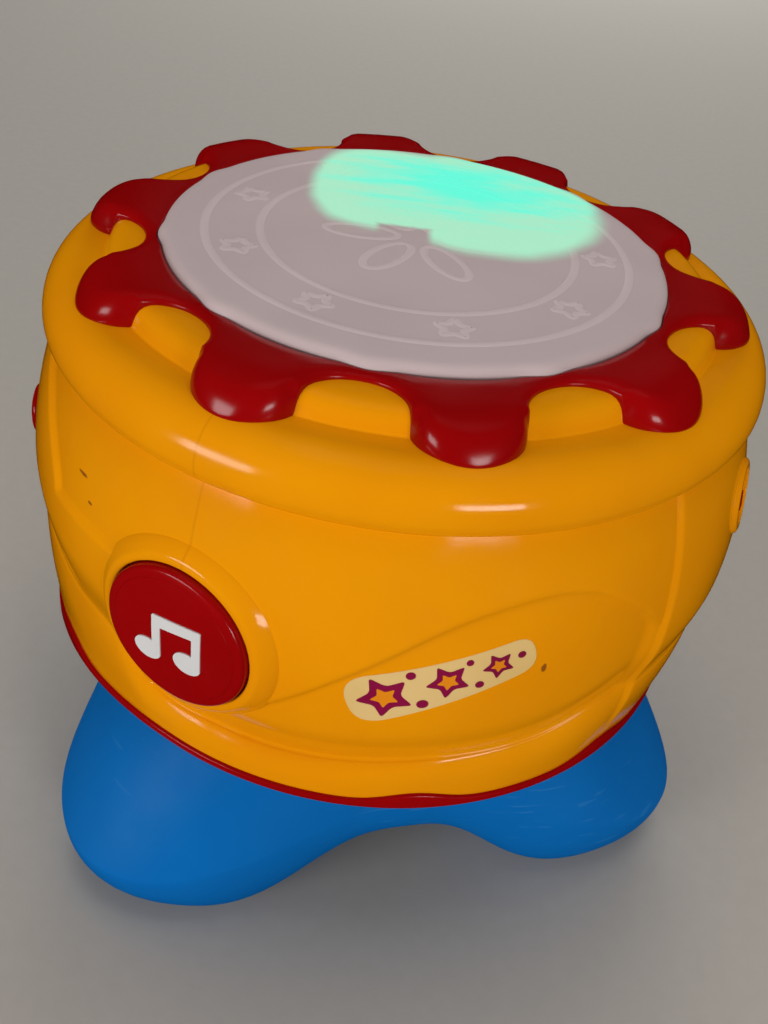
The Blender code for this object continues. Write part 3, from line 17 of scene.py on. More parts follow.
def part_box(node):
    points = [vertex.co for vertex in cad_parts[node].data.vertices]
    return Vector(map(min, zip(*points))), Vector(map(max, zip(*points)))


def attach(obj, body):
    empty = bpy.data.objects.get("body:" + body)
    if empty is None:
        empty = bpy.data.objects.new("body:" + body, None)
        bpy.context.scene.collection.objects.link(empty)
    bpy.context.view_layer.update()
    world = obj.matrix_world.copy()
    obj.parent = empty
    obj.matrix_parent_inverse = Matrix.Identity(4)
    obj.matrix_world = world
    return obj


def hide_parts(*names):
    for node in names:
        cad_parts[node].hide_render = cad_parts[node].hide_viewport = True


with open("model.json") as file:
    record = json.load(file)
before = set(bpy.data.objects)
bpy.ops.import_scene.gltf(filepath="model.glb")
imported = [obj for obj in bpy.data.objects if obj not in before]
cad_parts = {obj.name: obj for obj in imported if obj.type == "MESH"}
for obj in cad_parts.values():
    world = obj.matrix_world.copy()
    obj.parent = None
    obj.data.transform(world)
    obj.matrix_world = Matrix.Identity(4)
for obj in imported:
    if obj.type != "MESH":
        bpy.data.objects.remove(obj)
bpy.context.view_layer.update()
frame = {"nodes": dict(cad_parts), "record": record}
RECORD = frame["record"]


def middle(node):
    """Centre of a node's box."""
    low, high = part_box(node)
    return (low + high) / 2


# Levels and the axis, read from the frame
AXIS = middle("drum_head") * Vector((1.0, 1.0, 0.0))
SHELL_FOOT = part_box("body_shell")[0].z
DECK_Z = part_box("body_shell")[1].z
HEAD_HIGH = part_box("drum_head")[1].z
STAND_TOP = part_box("base_stand")[1].z
PAN_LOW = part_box("floor_pan")[0].z
MUSIC_Z = middle("music_button").z
SIDE_Z = middle("side_button").z

# Clearances
SEAT_GAP = 0.0003
SLIDE_GAP = 0.0004

# Body shell
BARREL_RADIUS = 0.1094
BULGE = 0.0080
SHELL_WALL = 0.0026
FOOT_EDGE = 0.0004
WALL_LOW = SHELL_FOOT + 0.0100
TUCK_Z = DECK_Z - 0.0240
WALL_MID = (WALL_LOW + TUCK_Z) / 2
WALL_HALF = (TUCK_Z - WALL_LOW) / 2
RIM_Z = DECK_Z - 0.0060
DECK_UNDER = DECK_Z - SHELL_WALL
FLANGE_RADIUS = BARREL_RADIUS - 0.0081
FLANGE_SWELL = 0.0042
SKIRT_FLARE = 0.0009
BEAD_CENTRE = 0.0945
BEAD_CROWN = 0.0110
BEAD_UNDER = 0.0065
BEAD_UPPER = 0.0115
BEAD_LOWER = 0.0065
BEAD_TUCK = radians(62)
STEP_RADIUS = 0.0887
STEP_ROUND = 0.0005
PLATEAU_RADIUS = 0.0867
PAD_ROUND = 0.0042
OPENING_RADIUS = 0.0757
OPENING_ROUND = 0.0008
LEFT_COLUMN = radians(-85)
SWELL_NEAR = radians(15)
SWELL_FAR = radians(55)
FRONT_CROWDING = 0.42

# Relief of the wall: azimuths in degrees, and (start, end) pairs where a shape fades in or out
WAVE_POINTS = (
    (-30, 0.102), (-15.8, 0.1175), (-1.7, 0.1397), (10.4, 0.156),
    (22, 0.1625), (31.3, 0.1604), (40.5, 0.149), (46, 0.140),
)
CREASE_POINTS = (
    (-75, 0.126), (-53, 0.1185), (-41, 0.1155), (-35, 0.0995), (-24, 0.0955),
    (-8, 0.0958), (11, 0.1003), (30, 0.1047), (42, 0.1128), (60, 0.116),
)
LEFT_EDGE_POINTS = (0.140, -54.0), (0.1508, -54.8), (0.1585, -57.4), (0.1684, -63.0), (0.180, -70.0)
POCKET_DEPTH = 0.0015
POCKET_END = 46.0
POCKET_RAMP = 3.5
STEP_SOFT = 0.0014
WING_TOP = 0.1500
WING_END = (-32, -22)
RAISED_PROUD = 0.0012
LEFT_START = (-113, -110)
RIGHT_EDGE = 46.0
RIGHT_END = (97, 100)
SKIRT_BULGE = 0.0018
SKIRT_FULLNESS = 0.6
CREST_SHARE = 0.7
CREST_SLOPE = 0.03
GROOVE_DEPTH = 0.0018
GROOVE_HEIGHT = 0.0180
CREASE_SOFT = 0.0028
BACK_AZIMUTH = 163.0
BACK_START = (88, 104)

# Crown and head
LOBE_COUNT = 10
LOBE_PITCH = 2 * pi / LOBE_COUNT
LOBE_AZIMUTH = radians(10.7)
LOBE_HALF_WIDTH = 0.0140
LOBE_DEPTH = 0.0120
LOBE_CENTRE = 0.0862
ARCH_RADIUS = 0.0770
ARCH_LEAD = 0.0057
ARCH_SHOULDER = 0.0068
CROWN_THICK = 0.0026
CROWN_RING = 0.0017
CROWN_FLAT = 0.0820
CROWN_EDGE = 0.0042
THIN_EDGE = 0.0005
CROWN_SUNK = 0.0018
HEAD_RADIUS = 0.0727
HEAD_DOME = 0.0003
HEAD_RELIEF = 0.0003
RELIEF_WIDTH = 0.0030
RELIEF_HIGH = 0.00017
HEAD_ROUND = 0.0036
HEAD_GAP = 0.0002
BUMP_OUT = 0.0011
BUMP_HALF_WIDTH = radians(6.5)
HEAD_TOP = HEAD_HIGH - HEAD_DOME - HEAD_RELIEF
HEAD_FLAT = HEAD_RADIUS - HEAD_ROUND - 0.001
HEAD_WALL = 0.0022
HEAD_POST_RADIUS = 0.0030
HEAD_POST_LENGTH = 0.0200
HEAD_FLANGE_RADIUS = OPENING_RADIUS + 0.0060
HEAD_FLANGE_TOP = DECK_UNDER - SEAT_GAP
HEAD_FLANGE_LOW = HEAD_FLANGE_TOP - 0.0020

# Pattern on the head: two rings, stars between them and petals in the middle
RING_OUTER = 0.0610
RING_INNER = 0.0455
STAR_COUNT = 9
STAR_RING = 0.0530
STAR_SIZE = 0.0050
STAR_START = radians(12)
STAR_LEAN = 0.7
PETAL_COUNT = 6
PETAL_CENTRE = 0.0165
PETAL_LENGTH = 0.0105
PETAL_FLAT = 0.42

# Light under the head, painted on the head's top as glow: patches as (centre, reach), and the distances over
# which it fades
GLOW_RIGHT = (0.020, 0.034), (0.038, 0.0425)
GLOW_LEFT = (-0.008, 0.036), (0.0275, 0.0350)
GLOW_HEART = (0.014, 0.043), (0.044, 0.027)
GLOW_RIM = (0.0722, 0.0690)
HUB_CENTRE = (-0.0045, -0.001)
HUB_EDGE = (0.0062, 0.0092)

# Buttons and slider
MUSIC_AZIMUTH = radians(-26.5)
MUSIC_RADIUS = 0.0217
SIDE_AZIMUTH = radians(-86)
SIDE_RADIUS = 0.0080
MUSIC_HOLE = MUSIC_RADIUS + 0.0035
SIDE_HOLE = SIDE_RADIUS + 0.0030
HOLE_FROM = 0.09
HOLE_TO = 0.13
MUSIC_COLLAR_REACH = 0.0066
SIDE_COLLAR_REACH = 0.0046
COLLAR_PROUD = 0.0006
COLLAR_LIP = 0.0022
COLLAR_FALL = 0.0042
COLLAR_FOOT = 0.0085
COLLAR_FLARE = 0.0012
COLLAR_WALL = 0.0020
COLLAR_DEPTH = 0.0140
BUTTON_PROUD = 0.0020
BUTTON_DOME = 0.0010
BUTTON_CURVE = 0.55
BUTTON_ROUND = 0.0014
BUTTON_LEDGE = 0.0030
LEDGE_SHARE = 0.3
FACE_STEP = 0.0002
FACE_STEP_WIDTH = 0.0006
BUTTON_DEPTH = 0.0055
BUTTON_FLANGE = 0.0020
FLANGE_THICK = 0.0020
PLUNGER_RADIUS = 0.0040
PLUNGER_END = 0.0060
SLIDER_AZIMUTH = radians(70)
SLIDER_WALL_Z = WALL_MID + 0.0220
SLIDER_TRAVEL = 0.0050
SLIDER_BED = -0.0020
SLIDER_SLOT = (0.0096, 0.0044, 0.02)
BEZEL_HOLE = 0.0092
BEZEL_CUT = 0.02
BEZEL_BORE = 0.0083
BEZEL_LIP = 0.0105
BEZEL_RADIUS = 0.0118
BEZEL_PROUD = 0.0008
BEZEL_EDGE = -0.0012
BEZEL_BACK = -0.0046
KNOB_LENGTH = 0.0050
KNOB_HEIGHT = 0.0064
KNOB_TOP = 0.0007
KNOB_LOW = -0.0017
KNOB_EDGE = 0.0005
KNOB_RIB = 0.0004
RIB_WIDTH = 0.0008
RIB_PITCH = 0.0014
RIB_INSET = 0.0014
RIB_EDGE = 0.0002
STEM_LENGTH = 0.0038
STEM_HEIGHT = 0.0036
STEM_END = -0.0072

# Pan and stand
PAN_PROUD = 0.0010
PAN_ROUND = 0.0012
PAN_WAVE = 0.0032
PAN_LEVEL = radians(32)
PAN_BORE = 0.0228
PAN_FLOOR = 0.0024
PAN_LEDGE = 0.0016
PAN_WALL = 0.0036
PAN_TUCK = 0.0005
FOOT_COUNT = 3
FOOT_AZIMUTH = radians(-43.5)
FOOT_REACH = 0.1214
FOOT_BELLY = 0.0223
FOOT_ROUND = 0.0236
WAIST_RADIUS = 0.0774
WAIST_ROUND = 0.0090
ARCH_HEIGHT = 0.0300
NECK_RADIUS = 0.0794
NECK_SLOPE = 1.75
FOOT_FULLNESS = 1.33
SOLE_FROM = -0.09
SOLE_TO = 0.78
STAND_WALL = 0.0026
PLATE_GAP = 0.0006
PLATE_RADIUS = 0.0470
PLATE_RAMP = 0.0080
PLATE_TOP = ARCH_HEIGHT + STAND_WALL
POST_RING = 0.0690
POST_RADIUS = 0.0055
POST_BORE = 0.0036
POST_BORE_TOP = 0.0165
DOOR_AZIMUTH = FOOT_AZIMUTH + pi / FOOT_COUNT
DOOR_LENGTH = 0.0691
DOOR_WIDTH = 0.0480
DOOR_EDGE = 0.0006
DOOR_SCREW_AT = -0.02905
GRIP_COUNT = 5
GRIP_SIZE = (0.0012, 0.0200, 0.0016)
GRIP_MARGIN = 0.0050
GRIP_PITCH = 0.0026
GRIP_EDGE = 0.0004
CELL_BAND = (0.0118, 0.0122)
SOUND_HOLE_COUNT = 12
SOUND_HOLE_RADIUS = 0.0016
SOUND_HOLE_ACROSS = 0.0305

# Screws
SCREW_SHAFT = 0.0015
SCREW_CORE = 0.0012
SCREW_PITCH = 0.0008
SCREW_HEAD = 0.0028
SCREW_THICK = 0.0020
SCREW_SINK = SCREW_HEAD + SEAT_GAP
SCREW_HOLE = SCREW_SHAFT + SEAT_GAP
SCREW_SUNK = 0.0014
SCREW_DOME = 0.0007
SCREW_CHAMFER = 0.0002
CROSS_LENGTH = 0.0034
CROSS_WIDTH = 0.0008
CROSS_DEPTH = 0.0022

# Mark on the music button: two joined notes, with each beam's under side and top at its stem
NOTE_HEAD = 0.0043
NOTE_FLAT = 0.8
NOTE_START = 70
NOTE_SWEEP = 270
NOTE_PROUD = 0.00035
LEFT_NOTE = (-0.0074, -0.0062)
RIGHT_NOTE = (0.0052, -0.0050)
LEFT_BEAM = (0.0030, 0.0066)
RIGHT_BEAM = (0.0042, 0.0078)
BEAM_ROUND = 0.0006
BEAM_CORNER = 0.0003

# Printed strip on the wall: (x, y, rounding) corners, then stars and dots as (place, size)
STICKER_AZIMUTH = radians(10.3)
STICKER_Z = 0.1378
STICKER_SLANT = radians(22)
STRIP_CORNERS = (
    (-0.0260, -0.0092, 0.0085),
    (0.0250, -0.0062, 0.0055),
    (0.0255, 0.0050, 0.0050),
    (-0.0255, 0.0092, 0.0085),
)
STRIP_STARS = (
    ((-0.0155, 0.0), 0.0080),
    ((0.0015, 0.0002), 0.0062),
    ((0.0150, -0.0002), 0.0046),
)
STRIP_DOTS = (
    ((-0.0070, 0.0056), 0.0013),
    ((-0.0068, -0.0054), 0.0016),
    ((0.0083, 0.0042), 0.0010),
    ((0.0088, -0.0043), 0.0012),
    ((0.0215, 0.0002), 0.0011),
)
STRIP_LEAN = 0.25
HEART_SHARE = 0.5
STRIP_LIFT = 0.00010
STAR_LIFT = 0.00017
HEART_LIFT = 0.00024
PRINT_SUNK = 0.0003
PRINT_STEP = 0.0020

# Marks on the wall: the parting line, and scuffs as (azimuth, height, length, thickness)
SEAM_AZIMUTH = radians(-26.0)
SCUFFS = (
    (radians(-48.3), 0.1625, 0.0030, 0.0007),
    (radians(-45.6), 0.1566, 0.0014, 0.0006),
    (radians(24.6), 0.1397, 0.0010, 0.0020),
)


# Curves, steps and directions
class Curve:
    """Smooth curve y(x) through a few points, level beyond its ends."""

    def __init__(self, points):
        self.x = [p[0] for p in points]
        self.y = [p[1] for p in points]
        last = len(points) - 1
        self.slope = [0.0] * len(points)
        for i in range(1, last):
            self.slope[i] = (self.y[i + 1] - self.y[i - 1]) / (self.x[i + 1] - self.x[i - 1])

    def __call__(self, x):
        if x <= self.x[0]:
            return self.y[0]
        if x >= self.x[-1]:
            return self.y[-1]
        i = bisect_right(self.x, x) - 1
        width = self.x[i + 1] - self.x[i]
        t = (x - self.x[i]) / width
        rise = self.y[i + 1] - self.y[i]
        lead = t * t * (3 - 2 * t)
        early = t * (1 - t) * (1 - t) * self.slope[i] * width
        late = t * t * (t - 1) * self.slope[i + 1] * width
        return self.y[i] + lead * rise + early + late


WAVE = Curve(WAVE_POINTS)
CREASE = Curve(CREASE_POINTS)
LEFT_EDGE = Curve(LEFT_EDGE_POINTS)


def smooth(value, low, high):
    """Smooth 0 to 1 step between two values."""
    t = min(max((value - low) / (high - low), 0.0), 1.0)
    return t * t * (3.0 - 2.0 * t)


def soft_max(a, b, width):
    """The larger of two values, with the corner between them filled."""
    share = min(max(0.5 + 0.5 * (a - b) / width, 0.0), 1.0)
    return b + (a - b) * share + width * share * (1.0 - share)


def wrap(angle):
    """The same angle between -pi and pi."""
    return (angle + pi) % (2 * pi) - pi


def outward(azimuth):
    """Unit vector from the axis at an azimuth."""
    return Vector((sin(azimuth), -cos(azimuth), 0.0))


def around(azimuth, radius, z):
    """Point at an azimuth, radius and height."""
    return outward(azimuth) * radius + Vector((0.0, 0.0, z))


def upright(azimuth, radius, z=0.0):
    """Frame with local X outward and local Z up."""
    return Matrix.Translation(around(azimuth, radius, z)) @ Matrix.Rotation(azimuth - pi / 2, 4, "Z")


def facing(azimuth, z):
    """Frame on the axis with local Z outward, local Y up and local X to the right of a viewer."""
    out = outward(azimuth)
    up = Vector((0.0, 0.0, 1.0))
    turn = Matrix((up.cross(out), up, out)).transposed().to_4x4()
    return Matrix.Translation((0.0, 0.0, z)) @ turn


def foot_azimuths():
    """Azimuth of each foot."""
    return [FOOT_AZIMUTH + 2 * pi * i / FOOT_COUNT for i in range(FOOT_COUNT)]


# Outlines and meshes
def rounded(corners, steps=5):
    """Points of an outline given as (x, y, rounding) corners."""
    points = []
    for i, (x, y, size) in enumerate(corners):
        here = Vector((x, y))
        if size == 0.0:
            points.append(here)
            continue
        before = Vector(corners[i - 1][:2])
        after = Vector(corners[(i + 1) % len(corners)][:2])
        start = here + (before - here).normalized() * size
        end = here + (after - here).normalized() * size
        for k in range(steps + 1):
            t = k / steps
            points.append(start * (1 - t) ** 2 + here * (2 * t * (1 - t)) + end * t**2)
    return points


def spun(profile, steps=64, loop=False):
    """Skin of revolution about Z from (radius, height) points."""
    bm = bmesh.new()
    points = [bm.verts.new((r, 0.0, z)) for r, z in profile]
    edges = [bm.edges.new(pair) for pair in zip(points, points[1:])]
    if loop:
        edges.append(bm.edges.new((points[-1], points[0])))
    bmesh.ops.spin(
        bm, geom=points + edges, cent=(0, 0, 0), axis=(0, 0, 1), angle=2 * pi, steps=steps, use_merge=True
    )
    bmesh.ops.remove_doubles(bm, verts=bm.verts, dist=1e-7)
    return bm


def ring_skin(columns, rows, at, loop=True):
    """A grid rolled into a ring: its points go where at(column, row) puts them, and its seams are merged."""
    across = rows if loop else rows - 1
    bm = bmesh.new()
    bmesh.ops.create_grid(bm, x_segments=columns, y_segments=across, size=1.0)
    for vert in bm.verts:
        column = round((vert.co.x + 1.0) / 2 * columns) % columns
        row = round((vert.co.y + 1.0) / 2 * across) % rows
        vert.co = at(column, row)
    bmesh.ops.remove_doubles(bm, verts=bm.verts, dist=1e-7)
    return bm


def swept(profile_at, azimuths, loop=True):
    """Skin round the drum's axis from a (radius, height) profile that changes with azimuth."""
    sides = [profile_at(azimuth) for azimuth in azimuths]

    def at(column, row):
        return around(azimuths[column], *sides[column][row])

    return ring_skin(len(azimuths), len(sides[0]), at, loop)


def even(steps, start=0.0):
    """Evenly spaced azimuths."""
    return [start + 2 * pi * i / steps for i in range(steps)]


def joined(*parts):
    """Several shapes in one bmesh; a part is a bmesh or a (bmesh, matrix) pair."""
    bm = bmesh.new()
    for part in parts:
        source, place = part if isinstance(part, tuple) else (part, Matrix())
        source.transform(place)
        moved = bpy.data.meshes.new("moved")
        source.to_mesh(moved)
        source.free()
        bm.from_mesh(moved)
        bpy.data.meshes.remove(moved)
    return bm


def block(size, centre, bevel=0.0, segments=3):
    """Block of a size about a centre, with its edges rounded."""
    bm = bmesh.new()
    bmesh.ops.create_cube(bm, size=1.0)
    bmesh.ops.scale(bm, vec=size, verts=bm.verts)
    bmesh.ops.translate(bm, vec=centre, verts=bm.verts)
    if bevel:
        bmesh.ops.bevel(
            bm, geom=bm.edges[:], offset=bevel, segments=segments, profile=0.5, affect="EDGES", material=-1
        )
    return bm


def rod(radius, low, high, steps=32):
    """Plain round rod along Z."""
    return spun([(0.0, low), (radius, low), (radius, high), (0.0, high)], steps)


def add_object(name, bm, finish=None):
    """Put a shape, measured about the drum's axis, into the scene."""
    bmesh.ops.translate(bm, verts=bm.verts, vec=AXIS)
    bmesh.ops.recalc_face_normals(bm, faces=bm.faces)
    mesh = bpy.data.meshes.new(name)
    bm.to_mesh(mesh)
    bm.free()
    if finish:
        mesh.materials.append(finish.material)
    made = bpy.data.objects.new(name, mesh)
    bpy.context.scene.collection.objects.link(made)
    return made


def shade(made, sharp=radians(38)):
    """Smooth shading with sharp edges kept."""
    made.data.shade_smooth()
    made.data.set_sharp_from_angle(angle=sharp)


def cut(made, *tools, operation="DIFFERENCE"):
    """Take shapes away from an object's mesh, or join them to it."""
    tool = add_object(f"{made.name}_tool", joined(*tools))
    change = made.modifiers.new("Cut", "BOOLEAN")
    change.operation = operation
    change.solver = "MANIFOLD"
    change.object = tool
    graph = bpy.context.evaluated_depsgraph_get()
    held = bpy.data.meshes.new_from_object(made.evaluated_get(graph))
    made.modifiers.remove(change)
    old = made.data
    made.data = held
    bpy.data.meshes.remove(old)
    bpy.data.objects.remove(tool)


def show(made, body, slot, *nodes):
    """Finish an object: shading, the body it rides on, and hiding the nodes it stands for; slot is not used.
    """
    shade(made)
    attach(made, body)
    if nodes:
        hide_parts(*nodes)


def slot_of(node):
    """Material slot that the record gives a node."""
    return next(row["material_slot"] for row in RECORD["subparts"] if row["node"] == node)


# Materials
class Wire:
    """A shader value that takes part in expressions; each operation adds a Math node."""

    def __init__(self, finish, socket):
        self.finish = finish
        self.socket = socket

    def math(self, operation, *values):
        return self.finish.add("ShaderNodeMath", {"operation": operation}, dict(enumerate(values)))

    def __add__(self, other):
        return self.math("ADD", self, other)

    def __radd__(self, other):
        return self.math("ADD", other, self)

    def __sub__(self, other):
        return self.math("SUBTRACT", self, other)

    def __rsub__(self, other):
        return self.math("SUBTRACT", other, self)

    def __mul__(self, other):
        return self.math("MULTIPLY", self, other)

    def __rmul__(self, other):
        return self.math("MULTIPLY", other, self)

    def __truediv__(self, other):
        return self.math("DIVIDE", self, other)

    def __pow__(self, other):
        return self.math("POWER", self, other)

    def __abs__(self):
        return self.math("ABSOLUTE", self)

    def largest(self, other):
        return self.math("MAXIMUM", self, other)

    def smallest(self, other):
        return self.math("MINIMUM", self, other)

    def step(self, low, high):
        """Smooth 0 to 1 step between two values; low may be above high."""
        settings = {"interpolation_type": "SMOOTHSTEP"}
        if low <= high:
            limits = {"From Min": low, "From Max": high}
        else:
            limits = {"From Min": high, "From Max": low, "To Min": 1.0, "To Max": 0.0}
        return self.finish.add("ShaderNodeMapRange", settings, {"Value": self, **limits})


class Finish:
    """A procedural material in the making."""

    def __init__(self, name):
        self.material = bpy.data.materials.new(name)
        self.material.use_nodes = True
        self.tree = self.material.node_tree
        self.shader = self.tree.nodes["Principled BSDF"]
        where = self.add("ShaderNodeTexCoord", out="Object")
        self.point = self.add("ShaderNodeMapping", {}, {"Vector": where, "Location": -AXIS})
        split = self.add("ShaderNodeSeparateXYZ", {}, {0: self.point})
        node = split.socket.node
        self.x, self.y, self.z = [Wire(self, node.outputs[k]) for k in range(3)]

    def add(self, kind, settings=None, values=None, out=0):
        node = self.tree.nodes.new(kind)
        for key, value in (settings or {}).items():
            setattr(node, key, value)
        for key, value in (values or {}).items():
            self.join(node.inputs[key], value)
        return Wire(self, node.outputs[out])

    def join(self, socket, value):
        if isinstance(value, Wire):
            self.tree.links.new(value.socket, socket)
        else:
            socket.default_value = value

    def noise(self, scale, detail=2.0, stretch=(1.0, 1.0, 1.0)):
        point = self.point
        if stretch != (1.0, 1.0, 1.0):
            point = self.add("ShaderNodeMapping", {}, {"Vector": point, "Scale": stretch})
        return self.add("ShaderNodeTexNoise", {}, {"Vector": point, "Scale": scale, "Detail": detail})

    def mix(self, first, second, share):
        return self.add("ShaderNodeMix", {"data_type": "RGBA"}, {0: share, 6: first, 7: second}, out=2)

    def azimuth(self):
        return self.x.math("ARCTAN2", self.x, 0.0 - self.y)

    def bump(self, height, distance, strength=1.0):
        return self.add(
            "ShaderNodeBump", {}, {"Height": height, "Distance": distance, "Strength": strength}
        )

    def set(self, **values):
        for key, value in values.items():
            self.join(self.shader.inputs[key.replace("_", " ").title()], value)
        return self


def rgb(red, green, blue):
    """Linear colour."""
    return (red, green, blue, 1.0)


def plastic(name, deep, pale, roughness, grain=0.00001, gloss=0.16):
    """Moulded plastic: faint cloudy tint, uneven gloss and a fine grain."""
    finish = Finish(name)
    cloud = finish.noise(24.0, 3.0)
    fine = finish.noise(900.0, 2.0)
    smudge = finish.noise(70.0, 4.0)
    finish.set(
        base_color=finish.mix(deep, pale, cloud.step(0.3, 0.7)),
        roughness=roughness + 0.08 * smudge.step(0.45, 0.75),
        normal=finish.bump(fine, grain),
    )
    finish.shader.inputs["Specular IOR Level"].default_value = gloss
    return finish


def tint(finish):
    """The colour that a finish has so far."""
    return Wire(finish, finish.shader.inputs["Base Color"].links[0].from_socket)


def dirt(finish, azimuth, z, length, height):
    """Share of a small scuff mark on the wall."""
    along = (finish.azimuth() - azimuth) * (BARREL_RADIUS / length)
    up = (finish.z - z) * (1.0 / height)
    ragged = finish.noise(1500.0, 3.0) * 0.9
    return (along * along + up * up + ragged).step(1.3, 0.7)


def yellow_finish():
    """Yellow shell with its parting line above the music button and a few scuffs."""
    finish = plastic("yellow_look", rgb(0.79, 0.272, 0.0015), rgb(0.82, 0.296, 0.0015), 0.10)
    off = abs(finish.azimuth() - SEAM_AZIMUTH) * BARREL_RADIUS
    line = off.step(0.0005, 0.00015) * finish.z.step(MUSIC_Z, MUSIC_Z + 0.001)
    seamed = finish.mix(tint(finish), rgb(0.55, 0.16, 0.002), line * 0.3)
    marks = reduce(Wire.largest, [dirt(finish, *scuff) for scuff in SCUFFS])
    finish.set(base_color=finish.mix(seamed, rgb(0.16, 0.03, 0.01), marks * 0.8))
    return finish


def blue_finish():
    """Blue stand with a few pale rub marks."""
    finish = plastic("blue_look", rgb(0.0007, 0.127, 0.425), rgb(0.001, 0.138, 0.45), 0.46, 0.00003, 0.06)
    lines = finish.noise(60.0, 1.0, (1.0, 1.0, 9.0)).step(0.66, 0.70)
    patch = finish.noise(14.0, 1.0).step(0.55, 0.65)
    finish.set(base_color=finish.mix(tint(finish), rgb(0.06, 0.25, 0.55), lines * patch * 0.18))
    return finish


def oval(finish, patch, power=2.0):
    """Distance from a rounded patch's centre, 1 at its edge; a higher power squares its corners."""
    centre, reach = patch
    across = abs((finish.x - centre[0]) / reach[0])
    back = abs((finish.y - centre[1]) / reach[1])
    return (across**power + back**power) ** (1 / power)


def head_finish(name, deep, pale):
    """Milky head plastic; the lamp's light under its back half is painted on, as a darker green base with a
    green glow.
    """
    finish = plastic(name, deep, pale, 0.36)
    x, y = finish.x, finish.y
    ragged = (finish.noise(60.0, 2.0) - 0.5) * 0.10
    sector = oval(finish, GLOW_RIGHT).smallest(oval(finish, GLOW_LEFT, 3.0))
    rim = (x * x + y * y) ** 0.5
    hub = abs(x - HUB_CENTRE[0]).largest(abs(y - HUB_CENTRE[1]))
    lit = (sector + ragged).step(1.04, 0.84) * rim.step(*GLOW_RIM)
    lit = lit * hub.step(*HUB_EDGE) * finish.z.step(HEAD_TOP - 0.003, HEAD_TOP)
    streak = finish.noise(190.0, 5.0, (0.25, 1.0, 1.0))
    heart = (oval(finish, GLOW_HEART) + (streak - 0.5) * 1.6).step(1.15, 0.15)
    glow = finish.mix(rgb(0.37, 0.71, 0.49), rgb(0.10, 0.85, 0.63), heart)
    # Painted light: the lamp's light through the head is painted as a darker green base and a green emission
    # over the lit sector.
    finish.set(
        base_color=finish.mix(tint(finish), rgb(0.05, 0.16, 0.12), lit),
        emission_color=finish.mix(rgb(0.0, 0.0, 0.0), glow, lit),
        emission_strength=1.0,
    )
    return finish


def steel_finish():
    """Bright steel with fine turning marks."""
    finish = Finish("steel_look")
    marks = finish.noise(500.0, 3.0, (1.0, 1.0, 6.0))
    finish.set(
        base_color=finish.mix(rgb(0.46, 0.46, 0.47), rgb(0.60, 0.60, 0.61), marks.step(0.3, 0.7)),
        roughness=0.24 + 0.18 * marks,
        metallic=1.0,
        normal=finish.bump(marks, 0.00002),
    )
    return finish


def board_finish():
    """Green circuit board with paler tracks under its lacquer."""
    finish = Finish("board_look")
    tracks = abs(finish.noise(180.0, 0.0) - 0.5).step(0.03, 0.015)
    finish.set(
        base_color=finish.mix(rgb(0.01, 0.10, 0.03), rgb(0.03, 0.20, 0.07), tracks),
        roughness=0.32 + 0.12 * finish.noise(90.0),
        normal=finish.bump(tracks, 0.00004),
    )
    return finish


def cell_finish():
    """Battery jacket in two colours, split across the cell's length."""
    finish = Finish("cell_look")
    along = finish.x * sin(DOOR_AZIMUTH) - finish.y * cos(DOOR_AZIMUTH)
    band = along.step(*CELL_BAND)
    finish.set(
        base_color=finish.mix(rgb(0.02, 0.02, 0.022), rgb(0.50, 0.24, 0.07), band),
        roughness=0.26 + 0.10 * finish.noise(120.0),
        metallic=band * 0.8,
    )
    return finish


def fibre_finish(name, deep, pale, roughness):
    """Matt fibrous or rubbery surface."""
    finish = Finish(name)
    fibre = finish.noise(420.0, 4.0, (1.0, 0.3, 1.0))
    finish.set(
        base_color=finish.mix(deep, pale, fibre.step(0.3, 0.7)),
        roughness=roughness,
        normal=finish.bump(fibre, 0.00008),
    )
    return finish


def lit_finish():
    """Lamp that is on."""
    finish = plastic("lamp_lit_look", rgb(0.10, 0.50, 0.36), rgb(0.14, 0.58, 0.42), 0.30)
    glow = finish.mix(rgb(0.10, 0.80, 0.58), rgb(0.20, 0.95, 0.72), finish.noise(200.0))
    finish.set(emission_color=glow, emission_strength=1.0)
    return finish


YELLOW = yellow_finish()
RED = plastic("red_look", rgb(0.275, 0.001, 0.0015), rgb(0.305, 0.0012, 0.002), 0.17)
BLUE = blue_finish()
HEAD = head_finish("head_look", rgb(0.535, 0.425, 0.42), rgb(0.565, 0.452, 0.447))
# The pattern is the head's own plastic; its paler tint is painted highlight, for light catching the low
# ridges.
RELIEF = head_finish("relief_painted_highlight_look", rgb(0.60, 0.482, 0.477), rgb(0.63, 0.51, 0.505))
STEEL = steel_finish()
WHITE = plastic("white_look", rgb(0.62, 0.61, 0.60), rgb(0.67, 0.66, 0.65), 0.40)
BLACK = plastic("black_look", rgb(0.018, 0.018, 0.020), rgb(0.028, 0.028, 0.030), 0.42)
CREAM = plastic("cream_look", rgb(0.70, 0.46, 0.16), rgb(0.76, 0.52, 0.21), 0.34)
MAGENTA = plastic("magenta_look", rgb(0.20, 0.003, 0.035), rgb(0.25, 0.004, 0.05), 0.34)
ORANGE = plastic("orange_look", rgb(0.70, 0.20, 0.004), rgb(0.78, 0.25, 0.006), 0.34)
LOOKS = {
    "yellow_plastic": YELLOW,
    "red_plastic": RED,
    "blue_plastic": BLUE,
    "head_plastic": HEAD,
    "white_plastic": WHITE,
    "black_plastic": BLACK,
    "bright_steel": STEEL,
    "board_green": board_finish(),
    "lamp_resin": plastic("lamp_look", rgb(0.60, 0.62, 0.60), rgb(0.68, 0.70, 0.68), 0.20, gloss=0.4),
    "lamp_lit": lit_finish(),
    "rubber_grey": fibre_finish("rubber_look", rgb(0.06, 0.06, 0.06), rgb(0.09, 0.09, 0.09), 0.75),
    "cone_paper": fibre_finish("cone_look", rgb(0.03, 0.028, 0.026), rgb(0.06, 0.055, 0.05), 0.85),
    "cell_jacket": cell_finish(),
    "lead_jacket": plastic("lead_look", rgb(0.03, 0.03, 0.035), rgb(0.05, 0.05, 0.055), 0.45),
}


